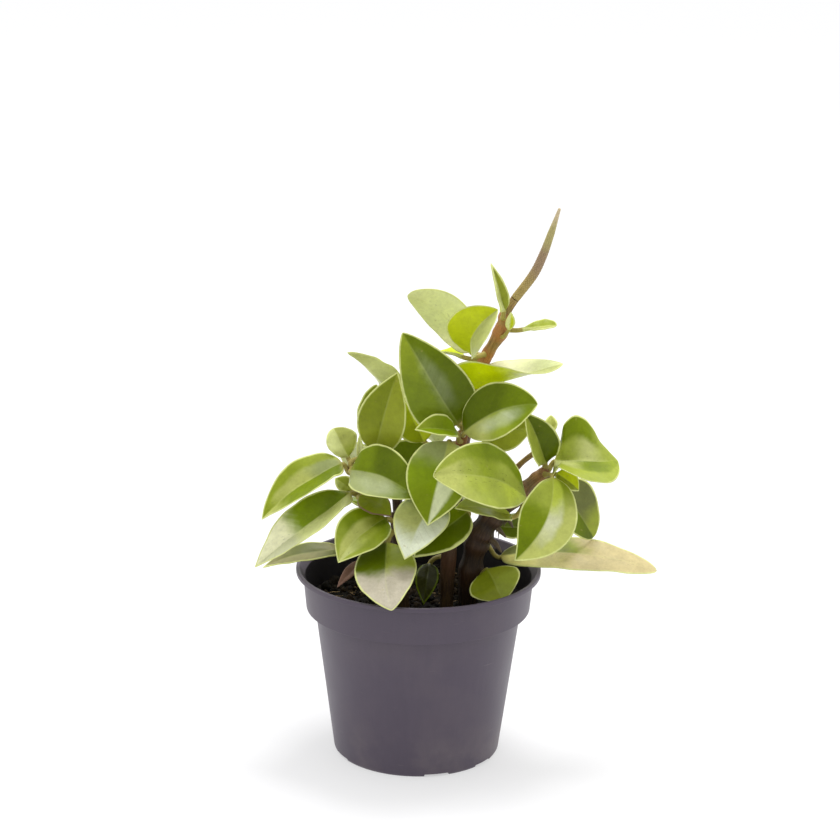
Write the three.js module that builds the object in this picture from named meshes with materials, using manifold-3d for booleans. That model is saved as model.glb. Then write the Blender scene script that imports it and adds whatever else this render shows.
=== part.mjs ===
// A peperomia house plant in a small nursery pot.
// Millimetres, +Z up. The origin is the centre of the underside of the pot, and -Y is the front.
// Every leaf is one solid with its stalk. It starts a hair's breadth off the stem that carries it.

import * as THREE from "three";
import { mergeVertices } from "three/addons/utils/BufferGeometryUtils.js";
import Module from "manifold-3d";

// ---------------------------------------------------------------- driving dimensions

const SEAT_GAP = 0.3; // clearance kept between pieces that touch

const POT = {
  height: 70.5,
  wall: 0.9,
  floor: 1.2,
  baseRadius: 30.7,
  shoulderRadius: 37.9,
  shoulderHeight: 54.6,
  collarRadius: 41.2,
  collarHeight: 55.4,
  collarTopRadius: 42.5,
  lipRadius: 45,
  lipHeight: 1.7,
  lipWidth: 1.3,
  facets: 54,
};

const DRAIN = {
  count: 9,
  firstAngle: -75,
  width: 18,
  height: 1,
  roof: 0.9,
  depth: 5.4,
  holeRadius: 1.9,
};

const SOIL = {
  bottom: 3.1,
  top: 57,
  bump: 0.5,
  ringRadii: [40.1, 38, 32, 25, 18, 11, 5],
  facets: 30,
};

const LEAF_SIDES = 8; // points round a leaf's cross-section
const STEM_SIDES = 8;

// Aerial root stubs on the thick right stem: foot, tip, radius at the foot.
const ROOT_STUBS = [
  { foot: [25.5, -7, 89], tip: [31.5, -9.5, 85.5], radius: 1.1 },
  { foot: [23.5, -7.5, 85], tip: [30, -12, 80.5], radius: 1.2 },
  { foot: [29.5, -7, 94], tip: [34, -9, 89], radius: 1.0 },
];

// Stems from the soil upwards. The path runs through the points, and the radius follows it.
const STEMS = {
  stem_tall: {
    path: [
      [9, 8, 45], [12, 11, 85], [16, 11, 115], [19, 9, 137], [23.6, 7.5, 149], [28.6, 5, 159],
      [30.2, 4, 166.2], [33, 3, 171],
    ],
    radius: [2.4, 2.3, 2.1, 1.9, 1.8, 2.3, 1.75, 1.65],
    steps: 16,
  },
  stem_right: {
    path: [
      [18, -5, 45], [19, -6, 70], [21.7, -7, 84], [26.4, -7, 92.4], [32.6, -7, 98.4],
      [40, -5, 104.5], [46.6, -2, 109],
    ],
    radius: [3.5, 3.7, 3.9, 3.8, 3.1, 2.3, 1.7],
    steps: 18,
  },
  stem_right_fork: {
    path: [
      [28, -2.6, 93], [31, 1.5, 102], [36, 2.5, 109], [42, 2, 114.5], [46, 2, 117.5],
    ],
    radius: [1.2, 1.2, 1.1, 1, 0.9],
    steps: 8,
  },
  stem_front: {
    path: [
      [10, -9, 45], [11, -9.5, 80], [13.5, -8.5, 105], [15.3, -8, 126],
    ],
    radius: [2.5, 2.3, 2, 1.6],
    steps: 9,
  },
  stem_left: {
    path: [
      [-8, 0, 45], [-12, 0, 78], [-19, -2, 98], [-25, -5, 111],
    ],
    radius: [2.4, 2.2, 1.9, 1.5],
    steps: 9,
  },
  stem_low: {
    path: [
      [-4, -12, 45], [-6, -13, 72], [-8, -13, 86], [-9, -13, 96],
    ],
    radius: [2, 1.9, 1.7, 1.4],
    steps: 8,
  },
  stem_back: {
    path: [
      [-6, 16, 45], [-8, 19, 85], [-10, 18, 112], [-9, 15, 130],
    ],
    radius: [2.2, 2, 1.8, 1.4],
    steps: 9,
  },
  flower_spike: {
    path: [
      [33.2, 2.95, 171.35], [39.5, 2, 180.5], [42.8, 1.2, 188], [45.4, 0.6, 196],
      [48.2, 0, 205.3],
    ],
    radius: [1.65, 1.75, 1.6, 1.3, 0.5],
    steps: 10,
  },
};

// Leaves. `stem` and `at` say where the stalk starts: `at` runs from 0 at the foot of the stem
// to 1 at its end. `base` and `tip` are the ends of the blade, `width` is its flat width, and
// `face` is the way that the upper side looks. The angles are in degrees.
const LEAF_DEFAULTS = {
  fold: 14, // how steeply each half rises from the midrib
  foldTip: null, // the same at the tip, if it differs
  curl: 10, // how much more each half bends up towards its margin
  arch: 0.08, // rise of the middle of the midrib over the straight line, per length
  sway: 0, // the same sideways
  twist: 0, // turn of the blade about its midrib from base to tip
  belly: 0.42, // where the blade is widest
  baseRound: 0.62, // smaller is rounder
  tipRound: 0.95,
  thick: 1.1,
  stalk: 0.9, // radius of the stalk
};

const LEAVES = {
  // the highest broad leaf, turned so that its pale underside faces the front
  leaf_top_pale: {
    stem: "stem_tall", at: 0.56,
    base: [17.86, 7.98, 150.22], tip: [-4.86, -3.21, 174.1], width: 16.82, face: [0.55, 0.72, -0.42],
    fold: 12.91, curl: 8.98, arch: 0.1, sway: -0.05, belly: 0.4, baseRound: 0.59, tipRound: 0.58,
  },
  // cupped lime leaf in front of it
  leaf_top_lime: {
    stem: "stem_tall", at: 0.58,
    base: [19.09, 1.21, 150.62], tip: [26.84, -10.76, 170.73], width: 21.57, face: [-0.31, -0.84, 0.44],
    fold: 31.06, curl: 19.4, arch: 0.19, sway: -0.07, belly: 0.58, baseRound: 0.74, tipRound: 0.75,
  },
  // young folded leaf standing beside the flower spike
  leaf_young_upright: {
    stem: "stem_tall", at: 0.82,
    base: [29.23, 0.72, 167.54], tip: [24.31, 0.01, 185.03], width: 6.59, face: [0.7, -0.64, -0.3],
    fold: 28.8, curl: 6, arch: 0.07, sway: -0.05, belly: 0.33, baseRound: 0.5, tipRound: 0.9,
  },
  // young narrow leaf held level on the right
  leaf_young_level: {
    stem: "stem_tall", at: 0.74,
    base: [36.05, 2.03, 160.26], tip: [48.3, 0.41, 162.28], width: 7.33, face: [0.16, -0.32, 0.93],
    fold: 11.12, curl: 6.54, arch: -0.01, sway: -0.07, belly: 0.6, baseRound: 0.6, tipRound: 0.49,
  },
  // tiny leaf in the axil under the flower spike
  leaf_bract: {
    stem: "stem_tall", at: 0.7,
    base: [31.2, 0, 161], tip: [31.8, -1, 167.5], width: 3.8, face: [0.2, -1, 0.1],
    fold: 10, thick: 0.9, stalk: 0.7,
  },
  // pale leaf reaching out at the upper left
  leaf_upper_left: {
    stem: "stem_back", at: 1,
    base: [-11.15, 12.1, 133.21], tip: [-26.79, 5.08, 150.16], width: 17.22, face: [0.39, 0.55, 0.74],
    fold: 18.2, curl: 15.1, arch: 0.03, sway: -0.06, belly: 0.32, baseRound: 0.78, tipRound: 0.69,
  },
  // channelled leaf reaching out at the upper right
  leaf_upper_right: {
    stem: "stem_tall", at: 0.33, out: [-0.5, -0.8, 0],
    base: [8, -4.7, 136.5], tip: [50.8, -4, 149.4], width: 25.4, face: [-0.1, 0.2, 1],
    fold: 63, foldTip: 0, curl: 4, arch: 0, twist: 66, belly: 0.38, baseRound: 0.64, tipRound: 0.75,
  },
  // small lime leaf below the two top leaves
  leaf_small_under_top: {
    stem: "stem_tall", at: 0.53,
    base: [15, 9, 148], tip: [5, 15, 147.6], width: 8, face: [0, 0, 1],
  },
  // the largest leaf, deep green and upright
  leaf_tall_centre: {
    stem: "stem_front", at: 1,
    base: [13.3, -9.5, 128.4], tip: [-6.8, -14.4, 162.8], width: 24.4, face: [0.12, -0.98, 0.13],
    fold: 3, curl: 4, arch: 0.07, sway: -0.01, belly: 0.31, baseRound: 0.5, tipRound: 0.72,
  },
  // upright olive leaf to its left
  leaf_olive_left: {
    stem: "stem_left", at: 1,
    base: [-16, -5, 116], tip: [-8.3, -9, 147], width: 18.5, face: [-0.25, -1, 0.1],
    fold: 8,
  },
  // lime leaf showing behind the olive one
  leaf_lime_behind_left: {
    stem: "stem_back", at: 0.9,
    base: [-16.9, 6, 117], tip: [-16, 4, 138.6], width: 12, face: [-0.6, -0.7, 0.1],
    tipRound: 0.62,
  },
  // inner leaf between the two upright ones
  leaf_centre_inner: {
    stem: "stem_front", at: 0.9,
    base: [1.4, -1, 119], tip: [-5.5, 2, 132.8], width: 14, face: [-0.2, -1, 0.3],
  },
  // round dark leaf pointing right
  leaf_centre_right: {
    stem: "stem_front", at: 0.97,
    base: [16, -14.5, 126.3], tip: [41.4, -19.2, 138.6], width: 21.8, face: [-0.42, -0.75, 0.5],
    fold: 9, curl: 3, arch: 0.08, sway: -0.07, belly: 0.46, baseRound: 0.6, tipRound: 0.7,
  },
  // small cupped leaf at the centre
  leaf_centre_cup: {
    stem: "stem_front", at: 0.93,
    base: [12.8, -14.2, 126], tip: [-2, -24, 130], width: 11.6, face: [0.1, -0.6, 0.75],
    fold: 22, curl: 15,
  },
  // folded leaf standing on the right node
  leaf_right_folded: {
    stem: "stem_right", at: 0.99,
    base: [45.3, -3, 112], tip: [37, -6, 132], width: 16, face: [0.45, -0.85, 0.1],
    fold: 35,
  },
  // broad leaf on the right, leaning back
  leaf_right_broad: {
    stem: "stem_right", at: 1,
    base: [49, -1, 111.9], tip: [72.2, 4.2, 111], width: 34, face: [-0.68, -0.55, 0.5],
    fold: 52, foldTip: 0, curl: 2.4, arch: 0.13, sway: 0.1, belly: 0.31, baseRound: 0.82, tipRound: 0.76,
  },
  // broad light leaf across the front, pointing left
  leaf_front_broad: {
    stem: "stem_right", at: 0.7,
    base: [38, -13.2, 101.4], tip: [4.6, -37.2, 117], width: 25.3, face: [-0.2, -0.8, 0.6],
    fold: 8, sway: 0.065, belly: 0.5, baseRound: 0.72, tipRound: 0.72,
  },
  // hanging leaf left of it
  leaf_front_centre: {
    stem: "stem_front", at: 0.85,
    base: [10, -16, 123], tip: [3, -32, 97], width: 24, face: [-0.1, -0.9, 0.3],
    fold: 8, baseRound: 0.5,
  },
  // cupped leaf of the left node, pointing to the front
  leaf_left_cup: {
    stem: "stem_left", at: 0.97,
    base: [-24.69, -10.58, 110.13], tip: [-1.44, -27.51, 105.91], width: 22.36, face: [0.12, -0.87, 0.48],
    fold: 19.61, curl: 14.06, arch: 0.06, sway: -0.07, belly: 0.41, baseRound: 0.66, tipRound: 0.62,
  },
  // long leaf hanging out to the left
  leaf_left_long: {
    stem: "stem_left", at: 0.93,
    base: [-28.07, -5.37, 111.07], tip: [-57, -10.29, 91.2], width: 19.4, face: [-0.11, -0.46, 0.88],
    fold: 19.91, curl: 8.94, arch: 0.06, sway: 0.02, belly: 0.41, baseRound: 0.48, tipRound: 0.93,
  },
  // the lower long leaf, bleached towards its tip
  leaf_left_bleached: {
    stem: "stem_left", at: 0.7,
    base: [-25, -6, 100], tip: [-59.5, -12, 73.5], width: 19, face: [-0.3, -0.6, 0.75],
    fold: 25, sway: -0.05,
  },
  // small upright leaf of the left node
  leaf_left_small: {
    stem: "stem_left", at: 0.93,
    base: [-26.32, 0.86, 111.91], tip: [-31.66, 4.16, 121.81], width: 13.03, face: [0.52, -0.85, 0.04],
    fold: 15.96, curl: 6.71, arch: 0.06, sway: -0.02, belly: 0.53, baseRound: 0.56, tipRound: 0.62,
  },
  // low leaf at the left of the front
  leaf_low_left: {
    stem: "stem_low", at: 0.9,
    base: [-12, -16, 94], tip: [-28.6, -30, 82], width: 19.6, face: [-0.1, -0.7, 0.7],
    fold: 15, sway: 0.04,
  },
  // low grey-green leaf
  leaf_low_grey: {
    stem: "stem_front", at: 0.6,
    base: [5, -14, 101], tip: [-5, -36.4, 85.8], width: 20, face: [-0.1, -0.8, 0.6],
    fold: 8,
  },
  // low dark leaf with a pale margin
  leaf_low_dark: {
    stem: "stem_front", at: 0.42,
    base: [17.3, -14.5, 96.2], tip: [-1.8, -26, 83], width: 18.4, face: [0, -0.7, 0.7],
    fold: 10,
  },
  // leaf drooping over the rim, bleached beige
  leaf_front_drooping: {
    stem: "stem_low", at: 0.75,
    base: [-11.37, -17.93, 85.32], tip: [-9.08, -49.5, 71.5], width: 22.3, face: [-0.04, -0.6, 0.8],
    fold: -3, curl: 5.56, arch: 0.03, sway: 0.04, belly: 0.41, baseRound: 0.6, tipRound: 0.75,
  },
  // small leaf low on the right, inside the rim
  leaf_low_right: {
    stem: "stem_right", at: 0.17, out: [1, -0.9, 0],
    base: [25, -11.5, 73.5], tip: [31, -23, 65.5], width: 20, face: [-0.1, -0.75, 0.65],
    fold: 4, belly: 0.5,
  },
  // large leaf hanging at the front of the right node
  leaf_right_front: {
    stem: "stem_right", at: 0.95,
    base: [47.62, -12.01, 108.94], tip: [33.91, -32.26, 84.47], width: 21.69, face: [0.06, -0.97, 0.25],
    fold: 8.07, curl: 12.73, arch: 0.05, sway: -0.12, belly: 0.47, baseRound: 0.52, tipRound: 0.98,
  },
  // dark leaf behind it
  leaf_right_dark: {
    stem: "stem_right", at: 0.9,
    base: [50.95, 5.86, 99.92], tip: [64.47, 7.93, 79.88], width: 19.75, face: [0.54, -0.79, 0.28],
    fold: 7.05, curl: 16.72, arch: 0.06, sway: -0, belly: 0.32, baseRound: 0.6, tipRound: 0.55,
  },
  // long straw-coloured leaf lying out over the rim
  leaf_right_straw: {
    stem: "stem_right", at: 0.3,
    base: [30.49, 3.56, 73.2], tip: [87.5, -2, 70.7], width: 18.32, face: [0.24, -0.39, 0.89],
    fold: -8.88, curl: 19.86, arch: 0.07, sway: -0.02, belly: 0.45, baseRound: 0.45, tipRound: 0.55,
  },
  // narrow leaf lying over the left of the rim
  leaf_rim_left: {
    stem: "stem_left", at: 0.4,
    base: [-27, 0, 76], tip: [-57, -6, 71.3], width: 11, face: [0, -0.3, 0.95],
    fold: 5,
  },
  // dark leaf just under the broad front leaf
  leaf_under_front: {
    stem: "stem_right", at: 0.75, out: [-0.4, -0.6, -0.7],
    base: [33, -14.1, 94.7], tip: [12.5, -21.8, 100.3], width: 16.8, face: [0, -0.25, 1],
    fold: 5,
  },
  // grey-green leaf seen behind the gap on the right
  leaf_inner_right: {
    stem: "stem_tall", at: 0.33,
    base: [21, 6, 121.5], tip: [41, 8, 121.5], width: 17, face: [0, -1, 0.3],
    fold: 8,
  },
  // small lime leaf at the right node
  leaf_right_small: {
    stem: "stem_right", at: 0.97, out: [0.5, -0.6, -1],
    base: [49.2, -7.4, 109], tip: [57.6, -8, 103], width: 9.6, face: [0.3, -0.6, 0.7],
  },
  // small pale leaf on the thin fork
  leaf_right_tip: {
    stem: "stem_right_fork", at: 1,
    base: [47.8, 9, 120], tip: [47.8, 13, 125.4], width: 5, face: [0, -1, 0.2],
  },
  // dark leaf deep inside, over the soil
  leaf_deep_inner: {
    stem: "stem_front", at: 0.3,
    base: [4, -2, 72], tip: [2, -16, 61.5], width: 9, face: [0, -0.6, 0.8],
  },
  // pale new shoot on the left node
  shoot_left: {
    stem: "stem_left", at: 0.85, out: [0.8, 0.6, 0],
    base: [-21.3, -1.5, 111], tip: [-22, -3, 121.5], width: 3, face: [0, -1, 0],
    thick: 0.9, stalk: 0.6,
  },
  // small olive leaf between the two long left ones
  leaf_left_inner: {
    stem: "stem_left", at: 0.74,
    base: [-25, 0, 99.5], tip: [-31, 3, 103], width: 7, face: [0.3, -0.8, 0.5],
  },
  // small curled leaf with a brown edge
  leaf_left_curled: {
    stem: "stem_left", at: 0.72,
    base: [-21.5, -12, 100.5], tip: [-9.8, -18, 95.5], width: 12, face: [0, -0.4, 1],
    fold: -6, arch: 0.15,
  },
  // dried leaf lying towards the rim
  leaf_dried: {
    stem: "stem_left", at: 0.2,
    base: [-19.5, -14, 77], tip: [-29, -28, 72], width: 5, face: [0, -0.5, 0.8],
  },
  // shaded leaf that fills the gap behind the left node
  leaf_inner_left: {
    stem: "stem_left", at: 0.8,
    base: [-15, 2, 106], tip: [7, 4, 114.5], width: 17, face: [-0.1, -1, 0.3],
  },
  // shaded leaf in front of the thick stem
  leaf_inner_low: {
    stem: "stem_right", at: 0.37, out: [0.3, 1, 0],
    base: [28, 0.4, 86.4], tip: [41, 6, 84], width: 9, face: [0, -1, 0.3],
  },
  // the back of the plant
  leaf_back_top_left: {
    stem: "stem_back", at: 0.92,
    base: [-8, 22, 127], tip: [-11, 46, 115], width: 22, face: [-0.1, 0.5, 0.85],
    arch: 0.12,
  },
  leaf_back_top_right: {
    stem: "stem_back", at: 0.8,
    base: [-3, 23, 117], tip: [7, 46, 103], width: 24, face: [0.1, 0.6, 0.8],
    arch: 0.12,
  },
  leaf_back_right: {
    stem: "stem_tall", at: 0.38,
    base: [19.5, 16, 118], tip: [25, 40, 106], width: 24, face: [0, 0.5, 0.85],
    arch: 0.12,
  },
  leaf_back_left: {
    stem: "stem_back", at: 0.68,
    base: [-14, 24, 107], tip: [-28, 44, 94], width: 22, face: [-0.2, 0.6, 0.75],
    arch: 0.12,
  },
  leaf_back_low_right: {
    stem: "stem_right", at: 0.5,
    base: [27, 3, 87], tip: [31, 26, 78], width: 18, face: [0.2, 0.5, 0.85],
    arch: 0.12,
  },
  leaf_back_low_left: {
    stem: "stem_back", at: 0.5,
    base: [-8, 27, 92], tip: [-8, 54, 79], width: 23, face: [0, 0.6, 0.8],
    arch: 0.12,
  },
  leaf_back_low_centre: {
    stem: "stem_tall", at: 0.2,
    base: [13, 18, 92], tip: [17, 47, 80], width: 22, face: [0, 0.6, 0.8],
    arch: 0.12,
  },
  leaf_back_side_left: {
    stem: "stem_left", at: 0.6,
    base: [-18, 4, 92], tip: [-31, 25, 84], width: 19, face: [-0.3, 0.4, 0.85],
    arch: 0.12,
  },
};

const COLOURS = {
  pot: 0x5b5562,
  soil: 0x1d1610,
  stem: 0x8a5a3a,
  trunk: 0x4d3324,
  spike: 0x8d7a4c,
  leaf: 0x6f8f1c,
  deep: 0x4f7410,
  lime: 0xa3b426,
  pale: 0xb9c684,
  straw: 0xd2c48e,
  bleached: 0xbfb795,
  dried: 0x8d6f5c,
};

const LEAF_COLOURS = {
  leaf_top_pale: "pale",
  leaf_top_lime: "lime",
  leaf_upper_left: "pale",
  leaf_upper_right: "lime",
  leaf_small_under_top: "lime",
  leaf_tall_centre: "deep",
  leaf_lime_behind_left: "lime",
  leaf_centre_inner: "lime",
  leaf_centre_right: "deep",
  leaf_low_grey: "pale",
  leaf_low_dark: "deep",
  leaf_front_drooping: "bleached",
  leaf_right_dark: "deep",
  leaf_right_straw: "straw",
  leaf_rim_left: "bleached",
  leaf_under_front: "deep",
  leaf_right_small: "lime",
  leaf_right_tip: "pale",
  leaf_deep_inner: "deep",
  shoot_left: "pale",
  leaf_dried: "dried",
};

// ---------------------------------------------------------------- vector helpers

const vec = (p) => new THREE.Vector3(p[0], p[1], p[2]);
const radians = THREE.MathUtils.degToRad;
const mix = (a, b, t) => a + (b - a) * t;

// The part of v that is at right angles to the unit vector axis, with length 1.
function across(v, axis) {
  return v.clone().addScaledVector(axis, -v.dot(axis)).normalize();
}

// Point and unit tangent of a smooth curve through the points, with t from 0 to 1.
function curveAt(points, t) {
  const last = points.length - 1;
  const scaled = Math.min(Math.max(t, 0), 1) * last;
  const i = Math.min(Math.floor(scaled), last - 1);
  const u = scaled - i;
  const p1 = points[i];
  const p2 = points[i + 1];
  const p0 = i > 0 ? points[i - 1] : p1.clone().multiplyScalar(2).sub(p2);
  const p3 = i + 2 <= last ? points[i + 2] : p2.clone().multiplyScalar(2).sub(p1);
  const m1 = p2.clone().sub(p0).multiplyScalar(0.5);
  const m2 = p3.clone().sub(p1).multiplyScalar(0.5);
  return hermite(p1, m1, p2, m2, u);
}

function hermite(p1, m1, p2, m2, u) {
  const u2 = u * u;
  const u3 = u2 * u;
  const point = p1.clone().multiplyScalar(2 * u3 - 3 * u2 + 1);
  point.addScaledVector(m1, u3 - 2 * u2 + u);
  point.addScaledVector(p2, 3 * u2 - 2 * u3);
  point.addScaledVector(m2, u3 - u2);
  const tangent = p1.clone().multiplyScalar(6 * u2 - 6 * u);
  tangent.addScaledVector(m1, 3 * u2 - 4 * u + 1);
  tangent.addScaledVector(p2, 6 * u - 6 * u2);
  tangent.addScaledVector(m2, 3 * u2 - 2 * u);
  return { point, tangent: tangent.normalize() };
}

function radiusAt(radii, t) {
  const last = radii.length - 1;
  const scaled = Math.min(Math.max(t, 0), 1) * last;
  const i = Math.min(Math.floor(scaled), last - 1);
  return mix(radii[i], radii[i + 1], scaled - i);
}

// ---------------------------------------------------------------- closed lofts

// A closed skin over rings of points, with a point at each end. The two halves of a ring are cut
// into triangles as mirror images, so that the two sides of a thin twisted blade stay apart.
function closedLoft(rings, start, end) {
  const sides = rings[0].length;
  const points = rings.flat().concat([start, end]);
  const startIndex = points.length - 2;
  const endIndex = points.length - 1;
  const lastRing = (rings.length - 1) * sides;
  let faces = [];
  for (let k = 0; k < sides; k += 1) {
    const next = (k + 1) % sides;
    faces.push([startIndex, next, k]);
    faces.push([endIndex, lastRing + k, lastRing + next]);
    for (let r = 0; r < rings.length - 1; r += 1) {
      const low = r * sides;
      const high = low + sides;
      if (k < sides / 2) {
        faces.push([low + k, low + next, high + next], [low + k, high + next, high + k]);
      } else {
        faces.push([low + k, low + next, high + k], [low + next, high + next, high + k]);
      }
    }
  }
  if (signedVolume(points, faces) < 0) {
    faces = faces.map(([a, b, c]) => [a, c, b]);
  }
  const geometry = new THREE.BufferGeometry();
  const positions = points.flatMap((p) => [p.x, p.y, p.z]);
  geometry.setAttribute("position", new THREE.Float32BufferAttribute(positions, 3));
  geometry.setIndex(faces.flat());
  return geometry;
}

function signedVolume(points, faces) {
  let sum = 0;
  for (const [a, b, c] of faces) {
    sum += points[a].dot(points[b].clone().cross(points[c]));
  }
  return sum / 6;
}

function stemGeometry(stem, extra = 0) {
  const points = stem.path.map(vec);
  const rings = [];
  let side = null;
  for (let i = 0; i <= stem.steps; i += 1) {
    const t = i / stem.steps;
    const { point, tangent } = curveAt(points, t);
    side = across(side ?? new THREE.Vector3(1, 0.2, 0), tangent);
    const other = tangent.clone().cross(side);
    const radius = radiusAt(stem.radius, t) + extra;
    if (i === 0) {
      point.addScaledVector(tangent, -extra);
    }
    rings.push(circle(point, side, other, radius, STEM_SIDES));
  }
  const foot = rings[0].reduce((sum, p) => sum.add(p), new THREE.Vector3());
  foot.divideScalar(STEM_SIDES);
  return closedLoft(rings, foot, points[points.length - 1]);
}

function circle(centre, side, other, radius, sides) {
  const ring = [];
  for (let k = 0; k < sides; k += 1) {
    const angle = (2 * Math.PI * k) / sides;
    const point = centre.clone();
    point.addScaledVector(side, radius * Math.cos(angle));
    point.addScaledVector(other, radius * Math.sin(angle));
    ring.push(point);
  }
  return ring;
}

// ---------------------------------------------------------------- leaves

function leafGeometry(spec) {
  const leaf = { ...LEAF_DEFAULTS, ...spec };
  const blade = bladeShape(leaf);
  const stalk = stalkStart(leaf, blade);
  const rings = stalkRings(leaf, blade, stalk);
  const bladeSteps = blade.length < 18 ? 6 : 8;
  for (let j = 0; j < bladeSteps; j += 1) {
    const t = (1 - Math.cos((Math.PI * (j + 0.35)) / (bladeSteps + 0.6))) / 2;
    rings.push(bladeRing(leaf, blade, t));
  }
  return closedLoft(rings, stalk.point, blade.middle(1));
}

// The midrib, its directions and the half width of a blade, for t from 0 at the base to 1.
function bladeShape(leaf) {
  const base = vec(leaf.base);
  const chord = vec(leaf.tip).sub(base);
  const length = chord.length();
  chord.normalize();
  const face = across(vec(leaf.face), chord);
  const side = chord.clone().cross(face);
  const arch = leaf.arch * length;
  const sway = leaf.sway * length;
  const power = Math.log(0.5) / Math.log(leaf.belly);
  return {
    length,
    middle(t) {
      const bow = 4 * t * (1 - t);
      const point = base.clone().addScaledVector(chord, length * t);
      return point.addScaledVector(face, arch * bow).addScaledVector(side, sway * bow);
    },
    directions(t) {
      const slope = 4 * (1 - 2 * t);
      const along = chord.clone().multiplyScalar(length);
      along.addScaledVector(face, arch * slope).addScaledVector(side, sway * slope);
      along.normalize();
      const turn = radians(leaf.twist) * (t - 0.5);
      const up = across(face, along).applyAxisAngle(along, -turn);
      return { along, up, side: along.clone().cross(up) };
    },
    halfWidth(t) {
      const roundness = mix(leaf.baseRound, leaf.tipRound, t);
      return (leaf.width / 2) * Math.max(Math.sin(Math.PI * t ** power), 0) ** roundness;
    },
  };
}

// Where the stalk leaves its stem, just clear of the bark, and in which direction.
function stalkStart(leaf, blade) {
  const stem = STEMS[leaf.stem];
  const { point, tangent } = curveAt(stem.path.map(vec), leaf.at);
  if (leaf.at >= 1) {
    return { point: point.addScaledVector(tangent, SEAT_GAP), direction: tangent };
  }
  const outward = leaf.out ? vec(leaf.out) : blade.middle(0).sub(point);
  const direction = across(outward, tangent);
  point.addScaledVector(direction, radiusAt(stem.radius, leaf.at) + SEAT_GAP);
  return { point, direction };
}

function stalkRings(leaf, blade, stalk) {
  const rings = [];
  const base = blade.middle(0);
  const { along, side } = blade.directions(0);
  const reach = base.distanceTo(stalk.point) * 0.9;
  const leaving = stalk.direction.clone().multiplyScalar(reach);
  const arriving = along.clone().multiplyScalar(reach);
  for (let i = 0; i < 3; i += 1) {
    const { point, tangent } = hermite(stalk.point, leaving, base, arriving, i / 3);
    const sideways = across(side, tangent);
    const upwards = sideways.clone().cross(tangent);
    const radius = leaf.stalk * (i === 0 ? 1.05 : 0.95);
    rings.push(circle(point, sideways, upwards, radius, LEAF_SIDES));
  }
  return rings;
}

// One lens-shaped section: over the upper side from the right margin to the left one, and
// back along the underside.
function bladeRing(leaf, blade, t) {
  const { up, side } = blade.directions(t);
  const centre = blade.middle(t);
  const spread = Math.min(1, t / 0.12);
  const fold = radians(mix(leaf.fold, leaf.foldTip ?? leaf.fold, t)) * spread;
  const curl = radians(leaf.curl) * spread;
  const swell = Math.min(1, t / 0.25);
  const bladeDepth = (leaf.thick / 2) * (1 - 0.45 * t);
  const depth = mix(leaf.stalk * 0.95, bladeDepth, swell);
  const half = t < 0.9 ? Math.max(blade.halfWidth(t), leaf.stalk) : blade.halfWidth(t);
  const leftEdge = LEAF_SIDES / 2;
  const ring = [];
  for (let k = 0; k < LEAF_SIDES; k += 1) {
    const upper = k <= leftEdge;
    const step = upper ? 1 - (2 * k) / leftEdge : (2 * (k - leftEdge)) / leftEdge - 1;
    const hand = Math.sign(step);
    const u = Math.abs(step) ** 0.85;
    const bend = fold + curl * u;
    const out = (half * (Math.sin(bend) - Math.sin(fold))) / Math.max(curl, 1e-6);
    const rise = (half * (Math.cos(fold) - Math.cos(bend))) / Math.max(curl, 1e-6);
    const edge = k === 0 || k === leftEdge;
    const skin = edge ? 0 : depth * Math.sqrt(1 - u * u) * (upper ? 1 : -1);
    const point = centre.clone();
    point.addScaledVector(side, hand * (out - Math.sin(bend) * skin));
    point.addScaledVector(up, rise + Math.cos(bend) * skin);
    ring.push(point);
  }
  return ring;
}

// ---------------------------------------------------------------- joining and cutting

const wasm = await Module();
wasm.setup();

function toSolid(geometry) {
  const bare = geometry.clone();
  bare.deleteAttribute("normal");
  bare.deleteAttribute("uv");
  const merged = mergeVertices(bare, 1e-4);
  const mesh = new wasm.Mesh({
    numProp: 3,
    vertProperties: new Float32Array(merged.attributes.position.array),
    triVerts: new Uint32Array(merged.index.array),
  });
  return new wasm.Manifold(mesh);
}

function toGeometry(solid) {
  const mesh = solid.getMesh();
  const geometry = new THREE.BufferGeometry();
  const positions = new THREE.BufferAttribute(mesh.vertProperties, mesh.numProp);
  geometry.setAttribute("position", positions);
  geometry.setIndex(new THREE.BufferAttribute(mesh.triVerts, 1));
  return geometry;
}

// ---------------------------------------------------------------- pot and soil

// A closed profile of [radius, height] pairs, turned about the vertical axis.
function turned(profile, segments) {
  const points = profile.map(([radius, height]) => new THREE.Vector2(radius, height));
  return new THREE.LatheGeometry(points, segments).rotateX(Math.PI / 2);
}

// A block that fills part of a ring, between two radii, two angles and two heights.
function ringBlock(inner, outer, middleAngle, angle, bottom, top) {
  const from = radians(middleAngle - angle / 2);
  const to = radians(middleAngle + angle / 2);
  const shape = new THREE.Shape();
  shape.absarc(0, 0, outer, from, to, false);
  shape.absarc(0, 0, inner, to, from, true);
  shape.closePath();
  const options = { depth: top - bottom, bevelEnabled: false, curveSegments: 4 };
  return new THREE.ExtrudeGeometry(shape, options).translate(0, 0, bottom);
}

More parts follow.
